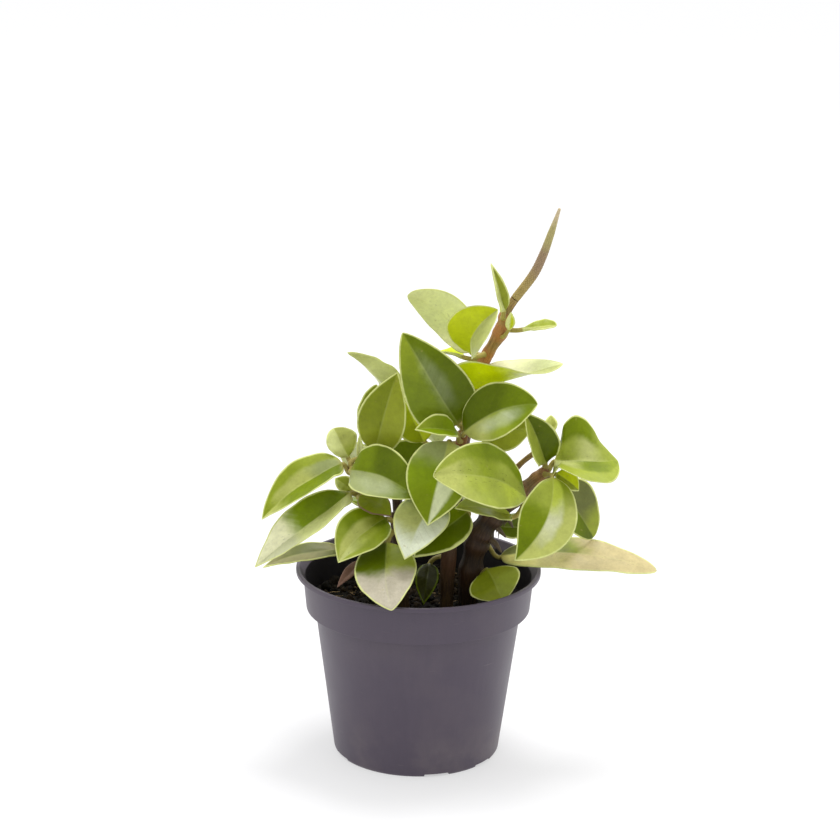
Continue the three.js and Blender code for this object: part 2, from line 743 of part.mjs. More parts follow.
function potGeometry() {
  const p = POT;
  const lipBottom = p.height - p.lipHeight;
  const outside = [
    [0, 0],
    [p.baseRadius - 0.9, 0],
    [p.baseRadius - 0.25, 0.3],
    [p.baseRadius, 1],
    [p.shoulderRadius, p.shoulderHeight],
    [p.collarRadius - 0.4, p.collarHeight - 0.4],
    [p.collarRadius, p.collarHeight],
    [p.collarTopRadius, lipBottom - 0.3],
    [p.lipRadius - 0.5, lipBottom],
    [p.lipRadius, lipBottom + 0.4],
    [p.lipRadius, p.height - 0.3],
    [p.lipRadius - 0.3, p.height],
  ];
  const inside = [
    [p.lipRadius - p.lipWidth, p.height],
    [p.lipRadius - p.lipWidth - 0.4, p.height - 0.4],
    [p.collarTopRadius - p.wall, lipBottom - 1.2],
    [p.collarRadius - p.wall, p.collarHeight + 0.7],
    [p.shoulderRadius - p.wall, p.shoulderHeight + 0.1],
    [p.baseRadius - p.wall, p.floor],
    [0, p.floor],
  ];
  let solid = toSolid(turned(outside.concat(inside), POT.facets));
  const innerEnd = p.baseRadius - DRAIN.depth;
  const roofTop = DRAIN.height + DRAIN.roof;
  for (let i = 0; i < DRAIN.count; i += 1) {
    const angle = DRAIN.firstAngle + (360 / DRAIN.count) * i;
    const wide = DRAIN.width + 3.6;
    const hump = ringBlock(innerEnd - 0.9, p.baseRadius - 0.4, angle, wide, 0.6, roofTop);
    const pocket = ringBlock(innerEnd, p.baseRadius + 2, angle, DRAIN.width, -1, DRAIN.height);
    const hole = new THREE.CylinderGeometry(DRAIN.holeRadius, DRAIN.holeRadius, 6, 12);
    hole.rotateX(Math.PI / 2);
    const reach = innerEnd + DRAIN.depth / 2 - 0.4;
    hole.translate(reach * Math.cos(radians(angle)), reach * Math.sin(radians(angle)), 2);
    solid = solid.add(toSolid(hump)).subtract(toSolid(pocket)).subtract(toSolid(hole));
  }
  return toGeometry(solid);
}

// The soil fills the pot with a slightly uneven top, and each stem stands in a socket in it.
function soilGeometry() {
  const sides = SOIL.facets;
  const wallRadius = POT.baseRadius - POT.wall - SEAT_GAP;
  const shoulder = POT.shoulderRadius - POT.wall - SEAT_GAP;
  const rim = SOIL.ringRadii[0];
  const rings = [
    levelRing(wallRadius, SOIL.bottom, sides),
    levelRing(shoulder, POT.shoulderHeight + 0.4, sides),
    levelRing(rim - 0.2, POT.collarHeight + 1.0, sides),
  ];
  for (const radius of SOIL.ringRadii) {
    const ring = levelRing(radius, SOIL.top, sides);
    for (const point of ring) {
      point.z += SOIL.bump * unevenness(point.x, point.y);
    }
    rings.push(ring);
  }
  const bottom = new THREE.Vector3(0, 0, SOIL.bottom);
  const middle = new THREE.Vector3(0, 0, SOIL.top);
  let solid = toSolid(closedLoft(rings, bottom, middle));
  for (const stem of Object.values(STEMS)) {
    if (stem.path[0][2] < SOIL.top) {
      solid = solid.subtract(toSolid(stemGeometry(stem, SEAT_GAP)));
    }
  }
  return toGeometry(solid);
}

function levelRing(radius, height, sides) {
  const centre = new THREE.Vector3(0, 0, height);
  const side = new THREE.Vector3(1, 0, 0);
  const other = new THREE.Vector3(0, 1, 0);
  return circle(centre, side, other, radius, sides);
}

function unevenness(x, y) {
  return Math.sin(x * 0.21 + 1) * Math.cos(y * 0.17) * 0.6 + Math.sin(x * 0.5 - y * 0.43) * 0.4;
}

// The thick right stem, with its aerial root stubs grown onto it.
function rootedStemGeometry() {
  let solid = toSolid(stemGeometry(STEMS.stem_right));
  for (const stub of ROOT_STUBS) {
    const foot = vec(stub.foot);
    const tip = vec(stub.tip);
    const middle = foot.clone().lerp(tip, 0.55);
    middle.z += 0.8;
    const root = {
      path: [stub.foot, middle.toArray(), stub.tip],
      radius: [stub.radius, stub.radius * 0.7, 0.3],
      steps: 4,
    };
    solid = solid.add(toSolid(stemGeometry(root)));
  }
  return toGeometry(solid);
}

// ---------------------------------------------------------------- the plant

const plant = new THREE.Group();

function addPiece(name, geometry, colour, roughness) {
  geometry.computeVertexNormals();
  const material = new THREE.MeshStandardMaterial({ color: colour, roughness, metalness: 0 });
  const mesh = new THREE.Mesh(geometry, material);
  mesh.name = name;
  plant.add(mesh);
}

addPiece("pot", potGeometry(), COLOURS.pot, 0.55);
addPiece("soil", soilGeometry(), COLOURS.soil, 1);

for (const [name, stem] of Object.entries(STEMS)) {
  const rooted = name === "stem_right";
  const geometry = rooted ? rootedStemGeometry() : stemGeometry(stem);
  const colour = name === "flower_spike" ? COLOURS.spike : COLOURS.stem;
  addPiece(name, geometry, rooted ? COLOURS.trunk : colour, 0.6);
}

for (const [name, leaf] of Object.entries(LEAVES)) {
  const colour = COLOURS[LEAF_COLOURS[name] ?? "leaf"];
  addPiece(name, leafGeometry(leaf), colour, 0.35);
}

export default plant;
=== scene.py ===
"""Potted peperomia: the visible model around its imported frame, in metres and in the frame's place."""

import math

import bmesh
import bpy
import numpy as np
from mathutils import Matrix, Vector


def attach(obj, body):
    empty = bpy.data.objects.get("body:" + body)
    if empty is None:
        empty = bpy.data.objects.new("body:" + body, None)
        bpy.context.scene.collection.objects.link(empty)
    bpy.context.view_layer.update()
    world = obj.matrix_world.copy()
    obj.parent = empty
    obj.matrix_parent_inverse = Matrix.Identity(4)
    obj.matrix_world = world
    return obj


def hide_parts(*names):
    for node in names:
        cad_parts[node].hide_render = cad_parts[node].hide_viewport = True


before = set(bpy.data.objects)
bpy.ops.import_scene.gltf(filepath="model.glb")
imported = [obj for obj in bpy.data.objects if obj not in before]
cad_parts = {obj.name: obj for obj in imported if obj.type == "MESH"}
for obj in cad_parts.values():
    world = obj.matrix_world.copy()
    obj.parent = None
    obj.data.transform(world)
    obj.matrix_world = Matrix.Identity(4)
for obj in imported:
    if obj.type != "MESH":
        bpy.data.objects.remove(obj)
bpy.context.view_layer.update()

bl_info = {
    "name": "Potted Peperomia",
    "version": (1, 0, 0),
    "blender": (4, 5, 0),
    "location": "3D View > Sidebar > Peperomia",
    "description": "Builds a small potted peperomia piece by piece around its fixed frame",
    "category": "Object",
}

MM = 0.001  # the tables below are in millimetres and degrees

# ---------------------------------------------------------------- sizes of the pot and the soil

POT = {
    "height": 70.5,
    "wall": 0.9,
    "floor": 1.2,
    "base_radius": 30.7,
    "shoulder_radius": 37.9,
    "shoulder_height": 54.6,
    "collar_radius": 41.2,
    "collar_height": 55.4,
    "collar_top_radius": 42.5,
    "lip_radius": 45,
    "lip_height": 1.7,
    "lip_width": 1.3,
}

# The drain pockets round the foot. "width" is their angle in degrees, "depth" how far they reach
# in from the foot, and "roof" and "hump_extra" how much thicker and wider the humps over them are.
DRAIN = {
    "count": 9,
    "first_angle": -75,
    "width": 18,
    "height": 1,
    "depth": 5.4,
    "roof": 0.9,
    "hump_extra": 3.6,
    "hole_radius": 1.9,
}

SOIL = {"bottom": 3.1, "top": 57, "bump": 0.5, "rim_radius": 40.1}

# ---------------------------------------------------------------- stems: centre line and radii

STEMS = {
    "stem_tall": {
        "path": ((9, 8, 45), (12, 11, 85), (16, 11, 115), (19, 9, 137), (23.6, 7.5, 149),
                 (28.6, 5, 159), (30.2, 4, 166.2), (33, 3, 171)),
        "radius": (2.4, 2.3, 2.1, 1.9, 1.8, 2.3, 1.75, 1.65),
    },
    "stem_right": {
        "path": ((18, -5, 45), (19, -6, 70), (21.7, -7, 84), (26.4, -7, 92.4), (32.6, -7, 98.4),
                 (40, -5, 104.5), (46.6, -2, 109)),
        "radius": (3.5, 3.7, 3.9, 3.8, 3.1, 2.3, 1.7),
    },
    "stem_right_fork": {
        "path": ((28, -2.6, 93), (31, 1.5, 102), (36, 2.5, 109), (42, 2, 114.5), (46, 2, 117.5)),
        "radius": (1.2, 1.2, 1.1, 1, 0.9),
    },
    "stem_front": {
        "path": ((10, -9, 45), (11, -9.5, 80), (13.5, -8.5, 105), (15.3, -8, 126)),
        "radius": (2.5, 2.3, 2, 1.6),
    },
    "stem_left": {
        "path": ((-8, 0, 45), (-12, 0, 78), (-19, -2, 98), (-25, -5, 111)),
        "radius": (2.4, 2.2, 1.9, 1.5),
    },
    "stem_low": {
        "path": ((-4, -12, 45), (-6, -13, 72), (-8, -13, 86), (-9, -13, 96)),
        "radius": (2, 1.9, 1.7, 1.4),
    },
    "stem_back": {
        "path": ((-6, 16, 45), (-8, 19, 85), (-10, 18, 112), (-9, 15, 130)),
        "radius": (2.2, 2, 1.8, 1.4),
    },
    "flower_spike": {
        "path": ((33.2, 2.95, 171.35), (39.5, 2, 180.5), (42.8, 1.2, 188), (45.4, 0.6, 196),
                 (48.2, 0, 205.3)),
        "radius": (1.65, 1.75, 1.6, 1.3, 0.5),
    },
}

# Roots that leave the thick right stem in the air: points from the bark to the tip, foot radius.
AIR_ROOTS = (
    (((25.5, -7, 89), (28.5, -8.6, 88.6), (31.5, -9.5, 85.5)), 1.1),
    (((23.5, -7.5, 85), (27.4, -10, 83.6), (30, -12, 80.5)), 1.2),
    (((29.5, -7, 94), (32.2, -8.4, 92.2), (34, -9, 89)), 1.0),
)

# ---------------------------------------------------------------- leaves

# "stem" and "at" say where the stalk starts, "at" running from 0 at the stem's foot to 1 at its
# end. "base" and "tip" are the ends of the blade, "width" is its flat width and "face" is the way
# that its upper side looks.
LEAF_DEFAULTS = {
    "fold": 14,  # how steeply each half rises from the midrib
    "fold_tip": None,  # the same at the tip, if it differs
    "curl": 10,  # how much more each half bends up towards its margin
    "arch": 0.08,  # rise of the middle of the midrib over the straight line, per length
    "sway": 0,  # the same sideways
    "twist": 0,  # turn of the blade about its midrib from base to tip
    "belly": 0.42,  # where the blade is widest
    "base_round": 0.62,  # smaller is rounder
    "tip_round": 0.95,
    "thick": 1.1,
    "stalk": 0.9,  # radius of the stalk
}

# A leaf's colour is the name of one in LeafLook, or three names for its base, middle and tip. Left
# and right are the halves of the upper side, seen with the tip pointing up. "left_outer" and
# "right_outer" are the same towards the margin, where they differ from the rest of the half.
PAINT_DEFAULTS = {
    "left": "green",
    "right": "green",
    "under": "pale",
    "margin": "margin",
    "stalk": "stalk",
    "begin": (0.15, 0.45),  # where the base colour fades to the middle one, from 0 at the base
    "fade": (0.5, 0.85),  # where the middle colour fades to the tip colour
    "edge": 1.0,  # width of the pale margin, over the common width
    "midrib": 0.12,
    "veins": 0.05,
    "mottle": 0.5,
    "scratches": 0.16,
    "bloom": 0.0,  # strength of the painted highlight, a pale stripe in the bloom colour
    "bloom_side": 0.3,  # where it lies, from -1 at the left margin to 1 at the right one
}

LEAVES = {
    "leaf_top_pale": {
        "stem": "stem_tall", "at": 0.56,
        "base": (17.86, 7.98, 150.22), "tip": (-4.86, -3.21, 174.1), "width": 16.82,
        "face": (0.55, 0.72, -0.42),
        "fold": 12.91, "curl": 8.98, "arch": 0.1, "sway": -0.05, "belly": 0.4, "base_round": 0.59,
        "tip_round": 0.58,
        "paint": dict(left="pale", right="pale", under=("cream", "mint", "pale")),
    },
    "leaf_top_lime": {
        "stem": "stem_tall", "at": 0.58,
        "base": (19.09, 1.21, 150.62), "tip": (26.84, -10.76, 170.73), "width": 21.57,
        "face": (-0.31, -0.84, 0.44),
        "fold": 31.06, "curl": 19.4, "arch": 0.19, "sway": -0.07, "belly": 0.58, "base_round": 0.74,
        "tip_round": 0.75,
        "paint": dict(left="lime", right=("cream", "pale_green", "pale_green"), under="pale"),
    },
    "leaf_young_upright": {
        "stem": "stem_tall", "at": 0.82,
        "base": (29.23, 0.72, 167.54), "tip": (24.31, 0.01, 185.03), "width": 6.59,
        "face": (0.7, -0.64, -0.3),
        "fold": 28.8, "curl": 6, "arch": 0.07, "sway": -0.05, "belly": 0.33, "base_round": 0.5,
        "tip_round": 0.9,
        "paint": dict(left="pale_green", right="olive", under="pale"),
    },
    "leaf_young_level": {
        "stem": "stem_tall", "at": 0.74,
        "base": (36.05, 2.03, 160.26), "tip": (48.3, 0.41, 162.28), "width": 7.33,
        "face": (0.16, -0.32, 0.93),
        "fold": 11.12, "curl": 6.54, "arch": -0.01, "sway": -0.07, "belly": 0.6, "base_round": 0.6,
        "tip_round": 0.49,
        "paint": dict(left="yellow_green", right="pale_olive", under="pale_olive"),
    },
    "leaf_bract": {
        "stem": "stem_tall", "at": 0.7,
        "base": (31.2, 0, 161), "tip": (31.8, -1, 167.5), "width": 3.8, "face": (0.2, -1, 0.1),
        "fold": 10, "thick": 0.9, "stalk": 0.7,
        "paint": dict(left="pale", right="lime", under="pale"),
    },
    "leaf_upper_left": {
        "stem": "stem_back", "at": 1,
        "base": (-11.15, 12.1, 133.21), "tip": (-26.79, 5.08, 150.16), "width": 17.22,
        "face": (0.39, 0.55, 0.74),
        "fold": 18.2, "curl": 15.1, "arch": 0.03, "sway": -0.06, "belly": 0.32, "base_round": 0.78,
        "tip_round": 0.69,
        "paint": dict(left="pale", right="cream", under=("pale", "pale", "pale_green")),
    },
    "leaf_upper_right": {
        "stem": "stem_tall", "at": 0.33, "out": (-0.5, -0.8, 0),
        "base": (8, -4.7, 136.5), "tip": (50.8, -4, 149.4), "width": 25.4, "face": (-0.1, 0.2, 1),
        "fold": 63, "fold_tip": 0, "curl": 4, "arch": 0, "twist": 66, "belly": 0.38, "base_round": 0.64,
        "tip_round": 0.75,
        "paint": dict(left=("pale_green", "cream", "mint"), right="pale_green",
                      under=("leaf_glow", "leaf_glow", "pale")),
    },
    "leaf_small_under_top": {
        "stem": "stem_tall", "at": 0.53,
        "base": (15, 9, 148), "tip": (5, 15, 147.6), "width": 8, "face": (0, 0, 1),
        "paint": dict(left="olive", right="lime", under="olive"),
    },
    "leaf_tall_centre": {
        "stem": "stem_front", "at": 1,
        "base": (13.3, -9.5, 128.4), "tip": (-6.8, -14.4, 162.8), "width": 24.4,
        "face": (0.12, -0.98, 0.13),
        "fold": 3, "curl": 4, "arch": 0.07, "sway": -0.01, "belly": 0.31, "base_round": 0.5,
        "tip_round": 0.72,
        "paint": dict(left=("grass", "grass", "spring"), right=("deep", "deep", "forest"), bloom=0.16,
                      bloom_side=0.12),
    },
    "leaf_olive_left": {
        "stem": "stem_left", "at": 1,
        "base": (-16, -5, 116), "tip": (-8.3, -9, 147), "width": 18.5, "face": (-0.25, -1, 0.1),
        "fold": 8,
        "paint": dict(left=("olive", "olive_green", "olive_green"), right="olive"),
    },
    "leaf_lime_behind_left": {
        "stem": "stem_back", "at": 0.9,
        "base": (-16.9, 6, 117), "tip": (-16, 4, 138.6), "width": 12, "face": (-0.6, -0.7, 0.1),
        "tip_round": 0.62,
        "paint": dict(left="olive_green", right="olive_green", under="olive_green"),
    },
    "leaf_centre_inner": {
        "stem": "stem_front", "at": 0.9,
        "base": (1.4, -1, 119), "tip": (-5.5, 2, 132.8), "width": 14, "face": (-0.2, -1, 0.3),
        "paint": dict(left="olive_lime", right="lime"),
    },
    "leaf_centre_right": {
        "stem": "stem_front", "at": 0.97,
        "base": (16, -14.5, 126.3), "tip": (41.4, -19.2, 138.6), "width": 21.8,
        "face": (-0.42, -0.75, 0.5),
        "fold": 9, "curl": 3, "sway": -0.07, "belly": 0.46, "base_round": 0.6, "tip_round": 0.7,
        "paint": dict(left=("deep", "deep", "forest"), right=("pale_olive", "spring", "forest"),
                      right_outer=("pale_olive", "spring", "green"), bloom=0.5, bloom_side=0.35,
                      fade=(0.5, 0.75)),
    },
    "leaf_centre_cup": {
        "stem": "stem_front", "at": 0.93,
        "base": (12.8, -14.2, 126), "tip": (-2, -24, 130), "width": 11.6, "face": (0.1, -0.6, 0.75),
        "fold": 22, "curl": 15,
        "paint": dict(left="fresh", right=("fresh", "green", "spring")),
    },
    "leaf_right_folded": {
        "stem": "stem_right", "at": 0.99,
        "base": (45.3, -3, 112), "tip": (37, -6, 132), "width": 16, "face": (0.45, -0.85, 0.1),
        "fold": 35,
        "paint": dict(left="moss", right="deep"),
    },
    "leaf_right_broad": {
        "stem": "stem_right", "at": 1,
        "base": (49, -1, 111.9), "tip": (72.2, 4.2, 111), "width": 34, "face": (-0.68, -0.55, 0.5),
        "fold": 52, "fold_tip": 0, "curl": 2.4, "arch": 0.13, "sway": 0.1, "belly": 0.31,
        "base_round": 0.82, "tip_round": 0.76,
        "paint": dict(left=("moss", "pale_green", "moss"), left_outer=("green", "green", "moss"),
                      right=("pale_green", "grass", "spring"), right_outer="yellow_green", scratches=0.3),
    },
    "leaf_front_broad": {
        "stem": "stem_right", "at": 0.7,
        "base": (38, -13.2, 101.4), "tip": (4.6, -37.2, 117), "width": 25.3, "face": (-0.2, -0.8, 0.6),
        "fold": 8, "sway": 0.065, "belly": 0.5, "base_round": 0.72, "tip_round": 0.72,
        "paint": dict(left=("lime_soft", "yellow_green", "pale_olive"),
                      left_outer=("lime_soft", "moss", "pale_olive"),
                      right=("moss", "spring", "pale_olive"), right_outer=("green", "green", "moss"),
                      scratches=0.5),
    },
    "leaf_front_centre": {
        "stem": "stem_front", "at": 0.85,
        "base": (10, -16, 123), "tip": (3, -32, 97), "width": 24, "face": (-0.1, -0.9, 0.3),
        "fold": 8, "base_round": 0.5,
        "paint": dict(left=("pale_olive", "grey_pale", "grey_pale"),
                      left_outer=("grey_green", "green", "grass"), right=("grey_green", "fresh", "green")),
    },
    "leaf_left_cup": {
        "stem": "stem_left", "at": 0.97,
        "base": (-24.69, -10.58, 110.13), "tip": (-1.44, -27.51, 105.91), "width": 22.36,
        "face": (0.12, -0.87, 0.48),
        "fold": 19.61, "curl": 14.06, "arch": 0.06, "sway": -0.07, "belly": 0.41, "base_round": 0.66,
        "tip_round": 0.62,
        "paint": dict(left=("green", "deep", "forest"), right=("grey_green", "grey_green", "grass"),
                      bloom=0.2, bloom_side=0.45, scratches=0.3),
    },
    "leaf_left_long": {
        "stem": "stem_left", "at": 0.93,
        "base": (-28.07, -5.37, 111.07), "tip": (-57, -10.29, 91.2), "width": 19.4,
        "face": (-0.11, -0.46, 0.88),
        "fold": 19.91, "curl": 8.94, "arch": 0.06, "sway": 0.02, "belly": 0.41, "base_round": 0.48,
        "tip_round": 0.93,
        "paint": dict(left=("forest", "green", "pale_olive"),
                      right=("grey_green", "pale_olive", "spring"),
                      right_outer=("moss", "spring", "spring"), fade=(0.6, 0.9)),
    },
    "leaf_left_bleached": {
        "stem": "stem_left", "at": 0.7,
        "base": (-25, -6, 100), "tip": (-59.5, -12, 73.5), "width": 19, "face": (-0.3, -0.6, 0.75),
        "fold": 25, "sway": -0.05,
        "paint": dict(left=("pale_green", "pale", "bleached_green"), right=("forest", "fresh", "cream"),
                      fade=(0.4, 0.62), scratches=0.25),
    },
    "leaf_left_small": {
        "stem": "stem_left", "at": 0.93,
        "base": (-26.32, 0.86, 111.91), "tip": (-31.66, 4.16, 121.81), "width": 13.03,
        "face": (0.52, -0.85, 0.04),
        "fold": 15.96, "curl": 6.71, "arch": 0.06, "sway": -0.02, "belly": 0.53, "base_round": 0.56,
        "tip_round": 0.62,
        "paint": dict(left=("pale_green", "pale", "pale"), right=("moss", "pale_olive", "pale_olive")),
    },
    "leaf_low_left": {
        "stem": "stem_low", "at": 0.9,
        "base": (-12, -16, 94), "tip": (-28.6, -30, 82), "width": 19.6, "face": (-0.1, -0.7, 0.7),
        "fold": 15, "sway": 0.04,
        "paint": dict(left=("forest", "yellow_green", "pale_green"),
                      left_outer=("green", "spring", "moss"),
                      right=("olive_green", "pale_olive", "pale_olive"),
                      right_outer=("green", "green", "moss"), under="olive", scratches=0.3),
    },
    "leaf_low_grey": {
        "stem": "stem_front", "at": 0.6,
        "base": (5, -14, 101), "tip": (-5, -36.4, 85.8), "width": 20, "face": (-0.1, -0.8, 0.6),
        "fold": 8,
        "paint": dict(left=("grass", "frost", "frost"), right=("deep", "pale_green", "frost"),
                      begin=(0.18, 0.4), veins=0.2),
    },
    "leaf_low_dark": {
        "stem": "stem_front", "at": 0.42,
        "base": (17.3, -14.5, 96.2), "tip": (-1.8, -26, 83), "width": 18.4, "face": (0, -0.7, 0.7),
        "fold": 10,
        "paint": dict(left="deep", right=("green", "deep", "deep"), edge=1.8),
    },
    "leaf_front_drooping": {
        "stem": "stem_low", "at": 0.75,
        "base": (-11.37, -17.93, 85.32), "tip": (-9.08, -49.5, 71.5), "width": 22.3,
        "face": (-0.04, -0.6, 0.8),
        "fold": -3, "curl": 5.56, "arch": 0.03, "sway": 0.04, "belly": 0.41, "base_round": 0.6,
        "tip_round": 0.75,
        "paint": dict(left=("moss", "moss", "bleached"), right=("deep", "deep", "bleached"),
                      fade=(0.36, 0.58)),
    },
    "leaf_low_right": {
        "stem": "stem_right", "at": 0.17, "out": (1, -0.9, 0),
        "base": (25, -11.5, 73.5), "tip": (31, -23, 65.5), "width": 20, "face": (-0.1, -0.75, 0.65),
        "fold": 4, "belly": 0.5,
        "paint": dict(left=("olive", "moss", "moss"), right=("olive_green", "olive_green", "olive")),
    },
    "leaf_right_front": {
        "stem": "stem_right", "at": 0.95,
        "base": (47.62, -12.01, 108.94), "tip": (33.91, -32.26, 84.47), "width": 21.69,
        "face": (0.06, -0.97, 0.25),
        "fold": 8.07, "curl": 12.73, "arch": 0.05, "sway": -0.12, "belly": 0.47, "base_round": 0.52,
        "tip_round": 0.98,
        "paint": dict(left=("lime_soft", "bleached_green", "pale_olive"),
                      left_outer=("spring", "pale_olive", "pale_olive"),
                      right=("moss", "green", "forest")),
    },
    "leaf_right_dark": {
        "stem": "stem_right", "at": 0.9,
        "base": (50.95, 5.86, 99.92), "tip": (64.47, 7.93, 79.88), "width": 19.75,
        "face": (0.54, -0.79, 0.28),
        "fold": 7.05, "curl": 16.72, "arch": 0.06, "belly": 0.32, "base_round": 0.6, "tip_round": 0.55,
        "paint": dict(left=("grey_dark", "grey_dark", "moss"), right=("forest", "forest", "deep")),
    },
    "leaf_right_straw": {
        "stem": "stem_right", "at": 0.3,
        "base": (30.49, 3.56, 73.2), "tip": (87.5, -2, 70.7), "width": 18.32, "face": (0.24, -0.39, 0.89),
        "fold": -8.88, "curl": 19.86, "arch": 0.07, "sway": -0.02, "belly": 0.45, "base_round": 0.45,
        "tip_round": 0.55,
        "paint": dict(left=("grey_dark", "moss", "straw"), right=("straw_green", "straw", "straw"),
                      under="straw", fade=(0.4, 0.62), scratches=0.25),
    },
    "leaf_rim_left": {
        "stem": "stem_left", "at": 0.4,
        "base": (-27, 0, 76), "tip": (-57, -6, 71.3), "width": 11, "face": (0, -0.3, 0.95),
        "fold": 5,
        "paint": dict(left=("grey_dark", "pinkish", "pinkish"), right=("pinkish", "grey_dark", "pinkish"),
                      under="pinkish"),
    },
    "leaf_under_front": {
        "stem": "stem_right", "at": 0.75, "out": (-0.4, -0.6, -0.7),
        "base": (33, -14.1, 94.7), "tip": (12.5, -21.8, 100.3), "width": 16.8, "face": (0, -0.25, 1),
        "fold": 5,
        "paint": dict(left="olive", right="yellow_green"),
    },
    "leaf_inner_right": {
        "stem": "stem_tall", "at": 0.33,
        "base": (21, 6, 121.5), "tip": (41, 8, 121.5), "width": 17, "face": (0, -1, 0.3),
        "fold": 8,
        "paint": dict(left="olive", right="olive"),
    },
    "leaf_right_small": {
        "stem": "stem_right", "at": 0.97, "out": (0.5, -0.6, -1),
        "base": (49.2, -7.4, 109), "tip": (57.6, -8, 103), "width": 9.6, "face": (0.3, -0.6, 0.7),
        "paint": dict(left="lime", right="olive"),
    },
    "leaf_right_tip": {
        "stem": "stem_right_fork", "at": 1,
        "base": (47.8, 9, 120), "tip": (47.8, 13, 125.4), "width": 5, "face": (0, -1, 0.2),
        "paint": dict(left="pale_olive", right="pale_olive"),
    },
    "leaf_deep_inner": {
        "stem": "stem_front", "at": 0.3,
        "base": (4, -2, 72), "tip": (2, -16, 61.5), "width": 9, "face": (0, -0.6, 0.8),
        # Painted shade: the whole leaf, margin and underside too, is painted dark
        "paint": dict(left="night", right="night", under="night", margin="deep"),
    },
    "shoot_left": {
        "stem": "stem_left", "at": 0.85, "out": (0.8, 0.6, 0),
        "base": (-21.3, -1.5, 111), "tip": (-22, -3, 121.5), "width": 3, "face": (0, -1, 0),
        "thick": 0.9, "stalk": 0.6,
        "paint": dict(left="pale", right="pale", under="pale"),
    },
    "leaf_left_inner": {
        "stem": "stem_left", "at": 0.74,
        "base": (-25, 0, 99.5), "tip": (-31, 3, 103), "width": 7, "face": (0.3, -0.8, 0.5),
        "paint": dict(left="moss", right="moss"),
    },
    "leaf_left_curled": {
        "stem": "stem_left", "at": 0.72,
        "base": (-21.5, -12, 100.5), "tip": (-9.8, -18, 95.5), "width": 12, "face": (0, -0.4, 1),
        "fold": -6, "arch": 0.15,
        "paint": dict(left="olive_green", right="olive_green", margin="dried"),
    },
    "leaf_dried": {
        "stem": "stem_left", "at": 0.2,
        "base": (-19.5, -14, 77), "tip": (-29, -28, 72), "width": 5, "face": (0, -0.5, 0.8),
        "paint": dict(left="dried", right="dried", under="dried", margin="dried"),
    },
    "leaf_inner_left": {
        "stem": "stem_left", "at": 0.8,
        "base": (-15, 2, 106), "tip": (7, 4, 114.5), "width": 17, "face": (-0.1, -1, 0.3),
        "paint": dict(left="forest", right=("deep", "deep", "moss")),
    },
    "leaf_inner_low": {
        "stem": "stem_right", "at": 0.37, "out": (0.3, 1, 0),
        "base": (28, 0.4, 86.4), "tip": (41, 6, 84), "width": 9, "face": (0, -1, 0.3),
        "paint": dict(left="deep", right="deep"),
    },
    "leaf_back_top_left": {
        "stem": "stem_back", "at": 0.92,
        "base": (-8, 22, 127), "tip": (-11, 46, 115), "width": 22, "face": (-0.1, 0.5, 0.85),
        "arch": 0.12,
        "paint": dict(left=("green", "fresh", "fresh"), right=("forest", "green", "spring")),
    },
    "leaf_back_top_right": {
        "stem": "stem_back", "at": 0.8,
        "base": (-3, 23, 117), "tip": (7, 46, 103), "width": 24, "face": (0.1, 0.6, 0.8),
        "arch": 0.12,
        "paint": dict(left=("fresh", "fresh", "spring"), right=("green", "green", "fresh")),
    },
    "leaf_back_right": {
        "stem": "stem_tall", "at": 0.38,
        "base": (19.5, 16, 118), "tip": (25, 40, 106), "width": 24, "face": (0, 0.5, 0.85),
        "arch": 0.12,
        "paint": dict(left=("forest", "green", "green"), right=("green", "spring", "moss")),
    },
    "leaf_back_left": {
        "stem": "stem_back", "at": 0.68,
        "base": (-14, 24, 107), "tip": (-28, 44, 94), "width": 22, "face": (-0.2, 0.6, 0.75),
        "arch": 0.12,
        "paint": dict(left=("green", "spring", "yellow_green"), right=("fresh", "fresh", "spring")),
    },
    "leaf_back_low_right": {
        "stem": "stem_right", "at": 0.5,
        "base": (27, 3, 87), "tip": (31, 26, 78), "width": 18, "face": (0.2, 0.5, 0.85),
        "arch": 0.12,
        "paint": dict(left=("deep", "forest", "green"), right=("deep", "forest", "green")),
    },
    "leaf_back_low_left": {
        "stem": "stem_back", "at": 0.5,
        "base": (-8, 27, 92), "tip": (-8, 54, 79), "width": 23, "face": (0, 0.6, 0.8),
        "arch": 0.12,
        "paint": dict(left=("green", "green", "fresh"), right=("fresh", "spring", "spring")),
    },
    "leaf_back_low_centre": {
        "stem": "stem_tall", "at": 0.2,
        "base": (13, 18, 92), "tip": (17, 47, 80), "width": 22, "face": (0, 0.6, 0.8),
        "arch": 0.12,
        "paint": dict(left=("forest", "green", "fresh"), right=("forest", "fresh", "fresh")),
    },
    "leaf_back_side_left": {
        "stem": "stem_left", "at": 0.6,
        "base": (-18, 4, 92), "tip": (-31, 25, 84), "width": 19, "face": (-0.3, 0.4, 0.85),
        "arch": 0.12,
        "paint": dict(left=("green", "fresh", "moss"), right=("green", "green", "fresh")),
    },
}

# ---------------------------------------------------------------- what a user would change


def colour_property(name, description, red, green, blue):
    """A colour as it looks on the screen, from 0 to 255."""
    return bpy.props.FloatVectorProperty(
        name=name,
        description=description,
        subtype="COLOR_GAMMA",
        size=3,
        min=0,
        max=1,
        default=(red / 255, green / 255, blue / 255),
    )


def length_property(name, description, millimetres):
    """A length, given here in millimetres and kept in metres."""
    return bpy.props.FloatProperty(
        name=name,
        description=description,
        default=millimetres * MM,
        min=0,
        unit="LENGTH",
        precision=5,
    )


def share_property(name, description, default, most=1.0):
    """A number that scales something, from 0 up to the most that is allowed."""
    return bpy.props.FloatProperty(
        name=name, description=description, default=default, min=0, max=most, subtype="FACTOR"
    )


